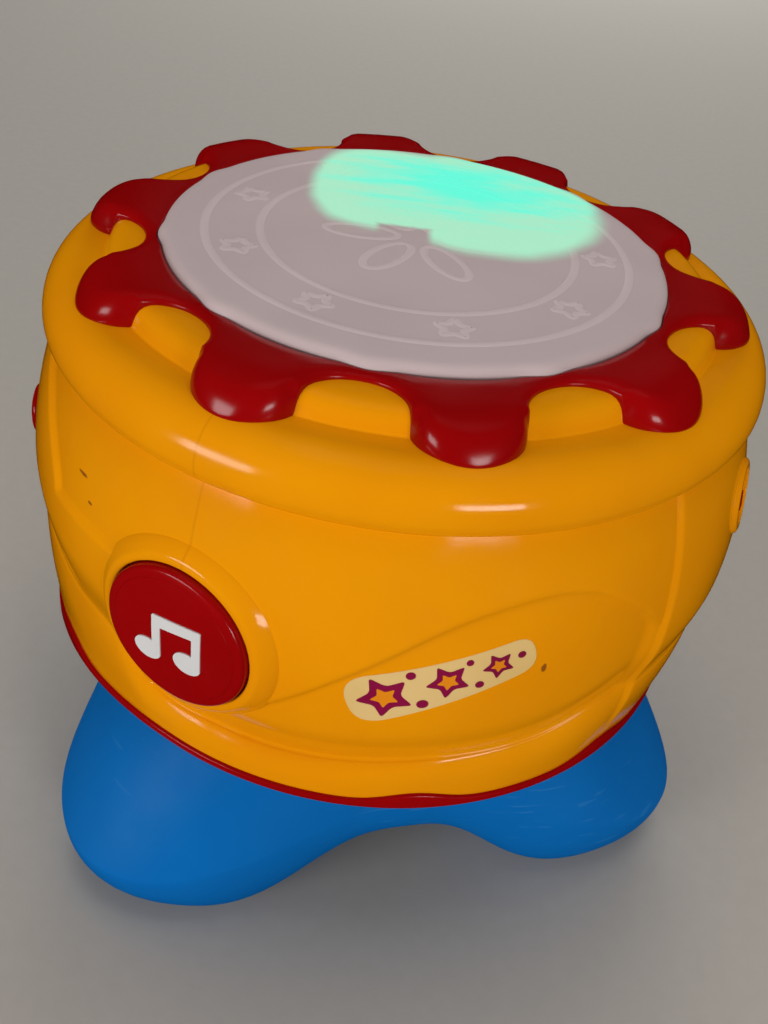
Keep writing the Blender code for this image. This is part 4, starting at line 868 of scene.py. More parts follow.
# Making the shell, its collars and the bezel
def barrel_radius(z):
    """Radius of the plain barrel."""
    u = (z - WALL_MID) / WALL_HALF
    return BARREL_RADIUS - BULGE * u * u


def swell(azimuth):
    """How far the foot flares out below the left column."""
    near = abs(wrap(azimuth - LEFT_COLUMN))
    return FLANGE_SWELL * (1.0 - smooth(near, SWELL_NEAR, SWELL_FAR))


def foot_radius(azimuth):
    """Radius of the skirt's lower edge."""
    return FLANGE_RADIUS + SKIRT_FLARE + swell(azimuth)


def scallop(azimuth):
    """Height that the pan's wavy rim gains under each lobe; it stays level below the music button."""
    clear = smooth(abs(wrap(azimuth - MUSIC_AZIMUTH)), PAN_LEVEL / 2, PAN_LEVEL)
    wave = 0.5 + 0.5 * cos(LOBE_COUNT * (azimuth - LOBE_AZIMUTH))
    return PAN_WAVE * clear * wave**3


def hollow(a, z):
    """Share of the recess under the wave at an azimuth in degrees."""
    under = smooth(WAVE(a) - z, -STEP_SOFT, STEP_SOFT)
    return under * (1.0 - smooth(a, POCKET_END - POCKET_RAMP, POCKET_END))


def raised(a, z):
    """Share of the raised side columns; the left one sweeps in to the music collar."""
    edge = radians(LEFT_EDGE(z) - a) * BARREL_RADIUS
    left = smooth(edge, -STEP_SOFT, STEP_SOFT)
    wing = smooth(WING_TOP - z, -STEP_SOFT, STEP_SOFT) * (1.0 - smooth(a, *WING_END))
    left = max(left, wing) * smooth(a, *LEFT_START)
    right = smooth(radians(a - RIGHT_EDGE) * BARREL_RADIUS, -STEP_SOFT / 2, STEP_SOFT / 2)
    return max(left, right * (1.0 - smooth(a, *RIGHT_END)))


def sides(azimuth):
    """Azimuth in degrees about the front and about the back, and the share of the back."""
    a = degrees(wrap(azimuth))
    return a, degrees(wrap(azimuth - radians(BACK_AZIMUTH))), smooth(abs(a), *BACK_START)


def crease_level(azimuth):
    """Height of the crease where the wall meets the skirt."""
    a, b, back = sides(azimuth)
    return CREASE(a) * (1 - back) + CREASE(b) * back


def wall_skin(azimuth, z):
    """Outer radius of the moulded wall."""
    a, b, back = sides(azimuth)
    crease = crease_level(azimuth)
    lift = RAISED_PROUD * raised(a, z)
    dip = POCKET_DEPTH * (hollow(a, z) * (1 - back) + hollow(b, z) * back)
    groove = GROOVE_DEPTH * (1.0 - smooth(z - crease, 0.0, GROOVE_HEIGHT))
    wall = barrel_radius(z) - dip + lift - groove
    crest = barrel_radius(crease) - POCKET_DEPTH * CREST_SHARE + lift - GROOVE_DEPTH
    drop = (crease - z) / (crease - SHELL_FOOT - scallop(azimuth))
    foot = foot_radius(azimuth)
    if drop < 0.0:
        skirt = crest + drop * CREST_SLOPE
    else:
        skirt = crest + (foot - crest) * drop + SKIRT_BULGE * sin(pi * min(drop, 1.0) ** SKIRT_FULLNESS)
    return soft_max(wall, skirt, CREASE_SOFT)


def shell_profile(azimuth):
    """Closed profile of the body shell, from its lower edge up over the bead and back down inside."""
    foot_z = SHELL_FOOT + scallop(azimuth)
    foot = foot_radius(azimuth)
    points = [(foot - FOOT_EDGE, foot_z), (foot - FOOT_EDGE * 0.3, foot_z + FOOT_EDGE * 0.3)]
    low = foot_z + FOOT_EDGE
    crease = crease_level(azimuth)
    skirt_rows = 18
    levels = [low + (crease - low) * sin(pi / 2 * i / skirt_rows) for i in range(skirt_rows)]
    wall_rows = 66
    crowding = 1.25
    levels += [crease + (TUCK_Z - crease) * (i / wall_rows) ** crowding for i in range(wall_rows + 1)]
    points += [(wall_skin(azimuth, z), z) for z in levels]
    bead_rows = 22
    for i in range(bead_rows + 1):
        swing = -BEAD_TUCK + (BEAD_TUCK + pi / 2) * i / bead_rows
        wide, high = (BEAD_CROWN, BEAD_UPPER) if swing > 0.0 else (BEAD_UNDER, BEAD_LOWER)
        out = BEAD_CENTRE + BEAD_CROWN - wide * (1.0 - cos(swing))
        points.append((out, RIM_Z - BEAD_UPPER + high * sin(swing)))
    points += rounded(
        [
            (BEAD_CENTRE, RIM_Z, 0.0),
            (STEP_RADIUS, RIM_Z, STEP_ROUND),
            (PLATEAU_RADIUS, DECK_Z, PAD_ROUND),
            (OPENING_RADIUS, DECK_Z, OPENING_ROUND),
            (OPENING_RADIUS, DECK_UNDER, 0.0),
            (PLATEAU_RADIUS - SHELL_WALL / 2, DECK_UNDER, 0.0),
            (STEP_RADIUS - SHELL_WALL / 2, RIM_Z - SHELL_WALL, 0.0),
            (BEAD_CENTRE - SHELL_WALL, RIM_Z - SHELL_WALL, 0.0),
            (BEAD_CENTRE + BEAD_CROWN - SHELL_WALL, (RIM_Z + TUCK_Z) / 2, 0.0),
        ]
    )[1:]
    inner_rows = 6
    for i in range(inner_rows + 1):
        z = TUCK_Z - SHELL_WALL + (WALL_LOW - TUCK_Z + SHELL_WALL) * i / inner_rows
        points.append((barrel_radius(z) - POCKET_DEPTH - SHELL_WALL, z))
    points.append((FLANGE_RADIUS - SHELL_WALL, WALL_LOW - SHELL_WALL))
    points.append((foot - SHELL_WALL, foot_z))
    return points


def front_dense(steps):
    """Azimuths that crowd towards the front."""
    return [2 * pi * i / steps - FRONT_CROWDING * sin(2 * pi * i / steps) for i in range(steps)]


def collar_level(azimuth, z):
    """Distance from the axis of a button's collar; the side button's stands on the left column."""
    column = RAISED_PROUD * raised(degrees(azimuth), z) if azimuth == SIDE_AZIMUTH else 0.0
    return barrel_radius(z) + column + COLLAR_PROUD


def rim_level(azimuth, z):
    """Distance from the axis of a button's rim."""
    return collar_level(azimuth, z) + BUTTON_PROUD


def slider_place():
    """Frame on the right column: local Z along the wall's normal, local X along the slider's travel."""
    wall = barrel_radius(SLIDER_WALL_Z) + RAISED_PROUD
    tilt = atan2(2 * BULGE * (SLIDER_WALL_Z - WALL_MID), WALL_HALF**2)
    at = Matrix.Translation(outward(SLIDER_AZIMUTH) * wall)
    return at @ facing(SLIDER_AZIMUTH, SLIDER_WALL_Z) @ Matrix.Rotation(-tilt, 4, "X")


def make_shell():
    """Yellow body shell with its holes for the buttons and the slider."""
    shell = add_object("shell_skin", swept(shell_profile, front_dense(620)), YELLOW)
    cut(
        shell,
        (rod(MUSIC_HOLE, HOLE_FROM, HOLE_TO, 96), facing(MUSIC_AZIMUTH, MUSIC_Z)),
        (rod(SIDE_HOLE, HOLE_FROM, HOLE_TO, 64), facing(SIDE_AZIMUTH, SIDE_Z)),
        (rod(BEZEL_HOLE, -BEZEL_CUT, BEZEL_CUT, 64), slider_place()),
    )
    show(shell, "drum", "yellow_plastic", "body_shell")


def make_collar(name, radius, azimuth, z, reach):
    """Soft yellow collar that rises from the wall round a button."""
    collar = collar_level(azimuth, z)
    inner = radius + SLIDE_GAP
    profile = rounded(
        [
            (inner, collar - COLLAR_DEPTH, 0.0),
            (inner, collar, 0.0006),
            (inner + COLLAR_LIP, collar, 0.0012),
            (inner + reach, collar - COLLAR_FALL, 0.0030),
            (inner + reach + COLLAR_FLARE, collar - COLLAR_FOOT, 0.0),
            (inner + COLLAR_WALL, collar - COLLAR_DEPTH, 0.0),
        ]
    )
    ring = spun(profile, 160, loop=True)
    ring.transform(facing(azimuth, z))
    show(add_object(name, ring, YELLOW), "drum", "yellow_plastic")


def make_bezel():
    """Round yellow dish that the slider moves in, with a slot for its stem."""
    dish = rounded(
        [
            (0.0, SLIDER_BED, 0.0),
            (BEZEL_BORE, SLIDER_BED, 0.0005),
            (BEZEL_BORE, BEZEL_PROUD, 0.0005),
            (BEZEL_LIP, BEZEL_PROUD, 0.0009),
            (BEZEL_RADIUS, BEZEL_EDGE, 0.0006),
            (BEZEL_LIP, BEZEL_BACK, 0.0),
            (0.0, BEZEL_BACK, 0.0),
        ]
    )
    turned = spun(dish, 96)
    turned.transform(slider_place())
    bezel = add_object("slider_bezel", turned, YELLOW)
    cut(bezel, (block(SLIDER_SLOT, (0.0, 0.0, 0.0)), slider_place()))
    show(bezel, "drum", "yellow_plastic")


# Making the crown and the head
def bump(azimuth):
    """1 at each small bump of the head's edge, midway between two lobes."""
    near = (azimuth - LOBE_AZIMUTH) % LOBE_PITCH - LOBE_PITCH / 2
    return 0.5 + 0.5 * cos(pi * min(abs(near) / BUMP_HALF_WIDTH, 1.0))


def crown_side():
    """Half of one lobe from its tip to the middle of the arch, as (outline, middle, bore azimuth) points."""
    half_pitch = LOBE_PITCH / 2
    centre = Vector((0.0, -LOBE_CENTRE, 0.0))
    rows = []
    bulb_rows = 16
    bulb_bore = radians(6.0)
    bulb_middle = 0.25
    for i in range(bulb_rows + 1):
        swing = pi / 2 * i / bulb_rows
        point = centre + Vector((LOBE_HALF_WIDTH * sin(swing), -LOBE_DEPTH * cos(swing), 0.0))
        rows.append((point, centre.lerp(point, bulb_middle), bulb_bore * i / bulb_rows))
    start = rows[-1][0]
    lead = start + Vector((0.0, ARCH_LEAD, 0.0))
    apex = outward(half_pitch) * ARCH_RADIUS
    shoulder = apex - Vector((cos(half_pitch), sin(half_pitch), 0.0)) * ARCH_SHOULDER
    arch_rows = 18
    for i in range(1, arch_rows + 1):
        t = i / arch_rows
        flank = start * (1 - t) ** 3 + lead * (3 * t * (1 - t) ** 2)
        point = flank + shoulder * (3 * t**2 * (1 - t)) + apex * t**3
        bore = bulb_bore + (half_pitch - bulb_bore) * t
        inner = outward(bore) * (HEAD_RADIUS + BUMP_OUT)
        rows.append((point, point.lerp(inner, 0.5).lerp(rows[bulb_rows][1], (1 - t) ** 2), bore))
    return rows


def deck_level(radius):
    """Height of the yellow deck, step, rim and bead under the crown."""
    t = min(max((radius - PLATEAU_RADIUS) / (STEP_RADIUS - PLATEAU_RADIUS), 0.0), 1.0)
    out = min(max((radius - BEAD_CENTRE) / BEAD_CROWN, 0.0), 1.0)
    return DECK_Z + (RIM_Z - DECK_Z) * t - BEAD_UPPER * (1.0 - sqrt(1.0 - out * out))


def crown_level(radius, inset):
    """Height of the crown's top, a distance in from its edge."""
    low = deck_level(radius) + THIN_EDGE
    flat = DECK_Z + CROWN_RING + (CROWN_THICK - CROWN_RING) * smooth(radius, HEAD_RADIUS, CROWN_FLAT)
    fall = min(max((radius - CROWN_FLAT) / (LOBE_CENTRE + LOBE_DEPTH - CROWN_FLAT), 0.0), 1.0)
    high = max(RIM_Z + (flat - RIM_Z) * sqrt(1.0 - fall**3), low)
    t = 1.0 - min(inset / CROWN_EDGE, 1.0)
    return low + (high - low) * sqrt(1.0 - t * t)


def make_crown():
    """Red crown: a ring whose thick rounded lobes drape over the step."""
    half = crown_side()
    one = [(Vector((-p.x, p.y, 0)), Vector((-m.x, m.y, 0)), -b) for p, m, b in half[-2:0:-1]] + half
    outline = []
    for i in range(LOBE_COUNT):
        turn = Matrix.Rotation(LOBE_AZIMUTH + i * LOBE_PITCH, 3, "Z")
        for point, mid, bore in one:
            azimuth = LOBE_AZIMUTH + i * LOBE_PITCH + bore
            edge = HEAD_RADIUS + BUMP_OUT * bump(azimuth) + HEAD_GAP
            outline.append((turn @ point, turn @ mid, outward(azimuth) * edge))
    between = 4
    tree = KDTree(len(outline) * between)
    for i, (point, _, _) in enumerate(outline):
        following = outline[(i + 1) % len(outline)][0]
        for k in range(between):
            tree.insert(point.lerp(following, k / between), i * between + k)
    tree.balance()
    # Shares of the way from the outline to the middle, close where the edge is round, and on to the bore
    outer = (0.0, 0.004, 0.015, 0.034, 0.06, 0.10, 0.15, 0.21, 0.30, 0.42, 0.55, 0.70, 0.85, 1.0)
    inner = (0.2, 0.4, 0.6, 0.8, 0.93, 1.0)
    rows = len(outer) + len(inner) + 2

    def at(column, row):
        point, mid, bore = outline[column]
        if row == rows - 2:
            return Vector((bore.x, bore.y, DECK_Z - SEAT_GAP))
        if row == rows - 1:
            return Vector((point.x, point.y, deck_level(point.length) - CROWN_SUNK))
        if row < len(outer):
            here = point.lerp(mid, outer[row])
        else:
            here = mid.lerp(bore, inner[row - len(outer)])
        drop = THIN_EDGE if row == rows - 3 else 0.0
        return Vector((here.x, here.y, crown_level(here.length, tree.find(here)[2]) - drop))

    crown = add_object("crown_skin", ring_skin(len(outline), rows, at), RED)
    show(crown, "drum", "red_plastic", "crown_ring")


def head_level(radius):
    """Height of the head's gently domed top."""
    return HEAD_TOP + HEAD_DOME * (1 - (radius / HEAD_RADIUS) ** 2)


def ridge(path, width):
    """Low rounded ridge along a closed path on the head's top."""
    section = (-0.5, -0.8), (-0.34, 0.5), (0.0, 1.0), (0.34, 0.5), (0.5, -0.8)

    def at(column, row):
        ahead = path[(column + 1) % len(path)] - path[column - 1]
        side = Vector((ahead.y, -ahead.x)).normalized()
        across, up = section[row]
        x, y = path[column] + side * (across * width)
        return Vector((x, y, head_level(hypot(x, y)) + up * RELIEF_HIGH))

    return ring_skin(len(path), len(section), at)


def star(size, turn=0.0, centre=(0.0, 0.0), waist=0.52, tip=0.16):
    """Outline of a five-pointed star with softened tips."""
    corners = []
    for k in range(10):
        reach = size if k % 2 == 0 else size * waist
        angle = turn + pi / 2 + pi * k / 5
        corners.append((centre[0] + reach * cos(angle), centre[1] + reach * sin(angle), size * tip))
    return rounded(corners, 4)


def circle(radius, steps, centre=(0.0, 0.0), flat=1.0):
    """Points round a circle or, with flat below 1, a flattened one."""
    turns = [2 * pi * k / steps for k in range(steps)]
    return [Vector((centre[0] + radius * cos(t), centre[1] + radius * flat * sin(t))) for t in turns]


def make_head():
    """Milky head with its bumpy edge and flange, and the raised pattern on its top."""

    def profile(azimuth):
        edge = HEAD_RADIUS + BUMP_OUT * bump(azimuth)
        flat_rows = 24
        radii = [HEAD_FLAT * i / flat_rows for i in range(flat_rows + 1)]
        points = [(radius, head_level(radius)) for radius in radii]
        points += rounded(
            [
                (HEAD_FLAT, HEAD_TOP, 0.0),
                (edge, HEAD_TOP, HEAD_ROUND),
                (edge, HEAD_FLANGE_TOP, 0.0),
                (HEAD_FLANGE_RADIUS, HEAD_FLANGE_TOP, 0.0),
                (HEAD_FLANGE_RADIUS, HEAD_FLANGE_LOW, 0.0),
                (HEAD_RADIUS - HEAD_WALL, HEAD_FLANGE_LOW, 0.0),
                (HEAD_RADIUS - HEAD_WALL, HEAD_TOP - HEAD_WALL, 0.0),
                (HEAD_POST_RADIUS, HEAD_TOP - HEAD_WALL, 0.0),
                (HEAD_POST_RADIUS, HEAD_TOP - HEAD_POST_LENGTH, 0.0),
                (0.0, HEAD_TOP - HEAD_POST_LENGTH, 0.0),
            ],
            10,
        )[1:]
        return points

    head = add_object("head_skin", swept(profile, even(360), loop=False), HEAD)
    show(head, "head", "head_plastic", "drum_head")
    paths = [circle(RING_OUTER, 200), circle(RING_INNER, 160)]
    for k in range(STAR_COUNT):
        place = around(2 * pi * k / STAR_COUNT + STAR_START, STAR_RING, 0.0)
        paths.append(star(STAR_SIZE, STAR_LEAN * k, place.xy))
    for k in range(PETAL_COUNT):
        petal = circle(PETAL_LENGTH, 60, (PETAL_CENTRE, 0.0), PETAL_FLAT)
        turn = Matrix.Rotation(2 * pi * k / PETAL_COUNT, 2)
        paths.append([turn @ point for point in petal])
    pattern = add_object("head_relief", joined(*[ridge(path, RELIEF_WIDTH) for path in paths]), RELIEF)
    show(pattern, "head", "head_plastic")


# Making the stand and the pan
def foot_share(azimuth):
    """1 at each foot's azimuth, 0 at the waists between them."""
    return 0.5 + 0.5 * cos(FOOT_COUNT * (azimuth - FOOT_AZIMUTH))


def sole_share(azimuth):
    """1 where the underside is down at the sole, 0 where it is up at the arch."""
    return smooth(foot_share(azimuth), SOLE_FROM, SOLE_TO)


def stand_side(azimuth, inset, upper_rows=26, lower_rows=16):
    """Stand profile at an azimuth, from the neck out over the foot or waist and under to its lower edge."""
    share = foot_share(azimuth) ** FOOT_FULLNESS
    belly_r = WAIST_RADIUS + (FOOT_REACH - WAIST_RADIUS) * share - inset
    edge_z = ARCH_HEIGHT * (1.0 - sole_share(azimuth)) + inset
    roll = WAIST_ROUND + (FOOT_ROUND - WAIST_ROUND) * share
    waist_belly = ARCH_HEIGHT + 2 * WAIST_ROUND
    belly_z = max(waist_belly + (FOOT_BELLY - waist_belly) * share, edge_z + WAIST_ROUND)
    edge_r = belly_r - roll
    neck_r = NECK_RADIUS - inset
    points = []
    for i in range(upper_rows):
        swing = pi / 2 * (1 - i / upper_rows)
        r = neck_r + (belly_r - neck_r) * max(cos(swing), 0.0) ** NECK_SLOPE
        points.append((r, belly_z + (STAND_TOP - belly_z) * sin(swing) ** NECK_SLOPE))
    for i in range(lower_rows + 1):
        swing = pi / 2 * i / lower_rows
        points.append((edge_r + roll * cos(swing), belly_z - (belly_z - edge_z) * sin(swing)))
    return points


def plate_ramp(azimuth, inset, rows=8):
    """Bottom cover's profile from the sole or arch in to its flat middle."""
    sole = sole_share(azimuth)
    points = []
    for i in range(rows + 1):
        t = i / rows
        r = PLATE_RADIUS + inset + PLATE_RAMP * (1 - t)
        points.append((r, ARCH_HEIGHT * (1.0 - sole * smooth(1 - t, 0.0, 1.0)) + inset))
    return points


def make_stand():
    """Blue stand shell with its three feet."""

    def profile(azimuth):
        return stand_side(azimuth, 0.0) + stand_side(azimuth, STAND_WALL, 8, 5)[::-1]

    stand = add_object("stand_skin", swept(profile, even(360, FOOT_AZIMUTH)), BLUE)
    show(stand, "drum", "blue_plastic", "base_stand")


def make_pan():
    """Red pan between the stand and the shell, whose wavy rim follows the skirt's foot."""

    def profile(azimuth):
        edge = foot_radius(azimuth) + PAN_PROUD
        high = SHELL_FOOT + scallop(azimuth)
        return rounded(
            [
                (PAN_BORE, PAN_LOW, 0.0),
                (edge, PAN_LOW, PAN_ROUND),
                (edge, high, PAN_ROUND / 2),
                (edge - PAN_LEDGE, high + PAN_TUCK, 0.0),
                (edge - PAN_WALL, high + PAN_TUCK, 0.0),
                (edge - PAN_WALL, PAN_LOW + PAN_FLOOR, 0.0),
                (PAN_BORE, PAN_LOW + PAN_FLOOR, 0.0),
            ],
            3,
        )

    pan = add_object("pan_skin", swept(profile, even(360, LOBE_AZIMUTH)), RED)
    show(pan, "drum", "red_plastic", "floor_pan")


# Making the buttons
def button_ledge(radius):
    """Width of the band outside the fine step on a button's face."""
    return min(BUTTON_LEDGE, radius * LEDGE_SHARE)


def face_level(radius, rim, r):
    """Height of a button's domed face at a distance from its centre."""
    share = r / (radius - button_ledge(radius))
    return rim + BUTTON_DOME - BUTTON_DOME * BUTTON_CURVE * share**2


def make_button(name, radius, azimuth, z):
    """Push button with a softly rounded edge and a fine step round its face."""
    rim = rim_level(azimuth, z)
    face = radius - button_ledge(radius)
    face_rows = 8
    radii = [face * i / face_rows for i in range(face_rows + 1)]
    profile = [(r, face_level(radius, rim, r)) for r in radii]
    step_z = face_level(radius, rim, radii[-1]) - FACE_STEP
    step_end = face + FACE_STEP_WIDTH
    low = rim - BUTTON_DEPTH
    profile += [(face + FACE_STEP, step_z), (step_end, step_z)]
    profile += rounded(
        [
            (step_end, step_z, 0.0),
            (radius, rim - FACE_STEP / 2, BUTTON_ROUND),
            (radius, low, 0.0),
            (radius + BUTTON_FLANGE, low, 0.0),
            (radius + BUTTON_FLANGE, low - FLANGE_THICK, 0.0),
            (PLUNGER_RADIUS, low - FLANGE_THICK, 0.0),
            (PLUNGER_RADIUS, low - PLUNGER_END, 0.0),
            (0.0, low - PLUNGER_END, 0.0),
        ],
        6,
    )[1:]
    cap = spun(profile, 128)
    cap.transform(facing(azimuth, z))
    show(add_object(f"{name}_cap", cap, RED), f"{name}_button", "red_plastic", f"{name}_button")


# Making the underside, the screws and the slider
def make_base_plate():
    """Blue bottom cover with its soles, screw posts, battery opening and sound holes."""

    def profile(azimuth):
        edge_r, edge_z = stand_side(azimuth, 0.0)[-1]
        rim_r, rim_z = stand_side(azimuth, STAND_WALL)[-1]
        outside = [(rim_r - PLATE_GAP, rim_z), (edge_r - PLATE_GAP, edge_z)]
        upper = plate_ramp(azimuth, STAND_WALL)[::-1]
        return [(0.0, PLATE_TOP)] + upper + outside + plate_ramp(azimuth, 0.0) + [(0.0, ARCH_HEIGHT)]

    plate = add_object("plate_skin", swept(profile, even(300, FOOT_AZIMUTH), loop=False), BLUE)
    at_posts = [upright(azimuth, POST_RING) for azimuth in foot_azimuths()]
    bore_top = STAND_TOP - POST_BORE_TOP
    post = [(0.0, STAND_WALL / 2), (POST_RADIUS, STAND_WALL / 2), (POST_RADIUS, STAND_TOP), (0.0, STAND_TOP)]
    bore = [
        (0.0, -STAND_WALL),
        (POST_BORE, -STAND_WALL),
        (POST_BORE, bore_top),
        (SCREW_HOLE, bore_top),
        (SCREW_HOLE, STAND_TOP + STAND_WALL),
        (0.0, STAND_TOP + STAND_WALL),
    ]
    cut(plate, *[(spun(post, 40), at) for at in at_posts], operation="UNION")
    tools = [(spun(bore, 40), at) for at in at_posts]
    opening = (DOOR_LENGTH + 2 * SLIDE_GAP, DOOR_WIDTH + 2 * SLIDE_GAP, 4 * STAND_WALL)
    door_place = upright(DOOR_AZIMUTH, 0.0)
    tools.append((block(opening, (0.0, 0.0, ARCH_HEIGHT)), door_place))
    for k in range(SOUND_HOLE_COUNT):
        along = (k // 2 - (SOUND_HOLE_COUNT / 2 - 1) / 2) * 4 * SOUND_HOLE_RADIUS
        across = SOUND_HOLE_ACROSS if k % 2 else -SOUND_HOLE_ACROSS
        hole = rod(SOUND_HOLE_RADIUS, ARCH_HEIGHT - STAND_WALL, PLATE_TOP + STAND_WALL, 24)
        tools.append((hole, door_place @ Matrix.Translation((along, across, 0.0))))
    cut(plate, *tools)
    show(plate, "drum", "blue_plastic", "base_plate")


def make_door():
    """Battery door with finger grooves and a sunk hole for its screw."""
    door_place = upright(DOOR_AZIMUTH, 0.0)
    lid = block((DOOR_LENGTH, DOOR_WIDTH, STAND_WALL), (0.0, 0.0, ARCH_HEIGHT + STAND_WALL / 2), DOOR_EDGE)
    lid.transform(door_place)
    door = add_object("door_skin", lid, BLUE)
    recess = [
        (0.0, ARCH_HEIGHT - SCREW_SUNK),
        (SCREW_SINK, ARCH_HEIGHT - SCREW_SUNK),
        (SCREW_SINK, ARCH_HEIGHT + SCREW_SUNK),
        (SCREW_HOLE, ARCH_HEIGHT + SCREW_SUNK),
        (SCREW_HOLE, PLATE_TOP + SCREW_SUNK),
        (0.0, PLATE_TOP + SCREW_SUNK),
    ]
    tools = [(spun(recess, 40), door_place @ Matrix.Translation((DOOR_SCREW_AT, 0.0, 0.0)))]
    for k in range(GRIP_COUNT):
        along = DOOR_LENGTH / 2 - GRIP_MARGIN - GRIP_PITCH * k
        tools.append((block(GRIP_SIZE, (along, 0.0, ARCH_HEIGHT), GRIP_EDGE), door_place))
    cut(door, *tools)
    show(door, "battery_door", "blue_plastic", "battery_door")


def make_screw(node, body):
    """Cross-head screw, head down, in its node's place."""
    low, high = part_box(node)
    centre = (low + high) / 2 - AXIS
    profile = rounded(
        [
            (0.0, low.z, 0.0),
            (SCREW_HEAD, low.z, SCREW_DOME),
            (SCREW_HEAD, low.z + SCREW_THICK, SCREW_CHAMFER),
            (SCREW_SHAFT, low.z + SCREW_THICK, 0.0),
        ],
        4,
    )
    turns = int((high.z - low.z - SCREW_THICK) / SCREW_PITCH) - 1
    for k in range(turns):
        z = low.z + SCREW_THICK + SCREW_PITCH * (k + 1)
        profile += [(SCREW_CORE, z - SCREW_PITCH / 2), (SCREW_SHAFT, z)]
    profile += [(SCREW_CORE, high.z - SCREW_PITCH / 2), (0.0, high.z)]
    place = Matrix.Translation((centre.x, centre.y, 0.0))
    shank = spun(profile, 32)
    shank.transform(place)
    screw = add_object(f"{node}_skin", shank, STEEL)
    for size in ((CROSS_LENGTH, CROSS_WIDTH, CROSS_DEPTH), (CROSS_WIDTH, CROSS_LENGTH, CROSS_DEPTH)):
        cut(screw, (block(size, (0.0, 0.0, low.z)), place))
    show(screw, body, "bright_steel", node)


def make_slider():
    """Ribbed slider knob on its stem, at the rest end of its travel."""
    at = -SLIDER_TRAVEL / 2
    base_top = KNOB_TOP - KNOB_RIB
    knob_size = (KNOB_LENGTH, KNOB_HEIGHT, base_top - KNOB_LOW)
    knob = block(knob_size, (at, 0.0, (base_top + KNOB_LOW) / 2), KNOB_EDGE)
    knob.transform(slider_place())
    slider = add_object("slider_skin", knob, LOOKS[slot_of("power_slider")])
    stem_size = (STEM_LENGTH, STEM_HEIGHT, KNOB_LOW - STEM_END)
    stem = block(stem_size, (at, 0.0, (KNOB_LOW + STEM_END) / 2 + KNOB_RIB))
    tools = [(stem, slider_place())]
    rib_size = (RIB_WIDTH, KNOB_HEIGHT - RIB_INSET, 3 * KNOB_RIB)
    for k in (-1, 0, 1):
        rib = block(rib_size, (at + k * RIB_PITCH, 0.0, base_top - KNOB_RIB / 2), RIB_EDGE)
        tools.append((rib, slider_place()))
    cut(slider, *tools, operation="UNION")
    show(slider, "power_slider", slot_of("power_slider"), "power_slider")


# Making the notes and the printed strip
def slab(outline, at, top, low):
    """Thin slab of an outline, cut into strips so that it follows the surface that at(x, y, lift) gives."""
    bm = bmesh.new()
    bm.faces.new([bm.verts.new((x, y, 0.0)) for x, y in outline])
    bm.normal_update()
    bmesh.ops.triangulate(bm, faces=bm.faces[:])
    for axis, across in ((0, (1.0, 0.0, 0.0)), (1, (0.0, 1.0, 0.0))):
        first = min(point[axis] for point in outline)
        last = max(point[axis] for point in outline)
        strips = int((last - first) / PRINT_STEP) + 1
        for k in range(1, strips):
            place = Vector(across) * (first + (last - first) * k / strips)
            everything = bm.verts[:] + bm.edges[:] + bm.faces[:]
            bmesh.ops.bisect_plane(bm, geom=everything, dist=1e-7, plane_co=place, plane_no=across)
    flat = bm.verts[:]
    grown = bmesh.ops.extrude_face_region(bm, geom=bm.faces[:])["geom"]
    for vert in flat:
        vert.co = at(vert.co.x, vert.co.y, low)
    for vert in grown:
        if isinstance(vert, bmesh.types.BMVert):
            vert.co = at(vert.co.x, vert.co.y, top)
    return bm


def note_head(x, y):
    """Round of a note's head, from its stem's left side to its right side."""
    steps = 24
    turns = [radians(NOTE_START + NOTE_SWEEP * k / steps) for k in range(steps + 1)]
    return [(x + NOTE_HEAD * cos(t), y + NOTE_HEAD * NOTE_FLAT * sin(t), 0.0) for t in turns]


def make_notes():
    """Raised white mark of two joined notes on the music button."""
    left = note_head(*LEFT_NOTE)
    right = note_head(*RIGHT_NOTE)
    corners = [(left[0][0], LEFT_BEAM[1], BEAM_ROUND)]
    corners += left
    corners += [(left[-1][0], LEFT_BEAM[0], BEAM_CORNER), (right[0][0], RIGHT_BEAM[0], BEAM_CORNER)]
    corners += right
    corners += [(right[-1][0], RIGHT_BEAM[1], BEAM_ROUND)]
    rim = rim_level(MUSIC_AZIMUTH, MUSIC_Z)
    place = facing(MUSIC_AZIMUTH, MUSIC_Z)

    def at(x, y, lift):
        return place @ Vector((x, y, face_level(MUSIC_RADIUS, rim, hypot(x, y)) + lift))

    notes = add_object("music_notes", slab(rounded(corners, 4), at, NOTE_PROUD, -NOTE_PROUD), WHITE)
    show(notes, "music_button", "white_plastic")


def make_sticker():
    """Printed strip of stars and dots in the hollow of the wall."""
    turn = Matrix.Rotation(STICKER_SLANT, 2)

    def at(x, y, lift):
        azimuth = STICKER_AZIMUTH + x / BARREL_RADIUS
        z = STICKER_Z + y
        return around(azimuth, wall_skin(azimuth, z) + lift, z)

    def print_layer(name, outlines, finish, lift):
        turned = [[turn @ point for point in outline] for outline in outlines]
        layer = joined(*[slab(outline, at, lift, -PRINT_SUNK) for outline in turned])
        show(add_object(name, layer, finish), "drum", "yellow_plastic")

    stars = [star(size, STRIP_LEAN, place) for place, size in STRIP_STARS]
    dots = [circle(size, 20, place) for place, size in STRIP_DOTS]
    hearts = [star(size * HEART_SHARE, STRIP_LEAN, place) for place, size in STRIP_STARS]
    print_layer("sticker_strip", [rounded(STRIP_CORNERS, 8)], CREAM, STRIP_LIFT)
    print_layer("sticker_stars", stars + dots, MAGENTA, STAR_LIFT)
    print_layer("sticker_hearts", hearts, ORANGE, HEART_LIFT)


def finish_inside():
    """Give every node of the frame the finish of its slot."""
    for row in RECORD["subparts"]:
        node = frame["nodes"][row["node"]]
        for slot in node.material_slots:
            slot.material = LOOKS[row["material_slot"]].material


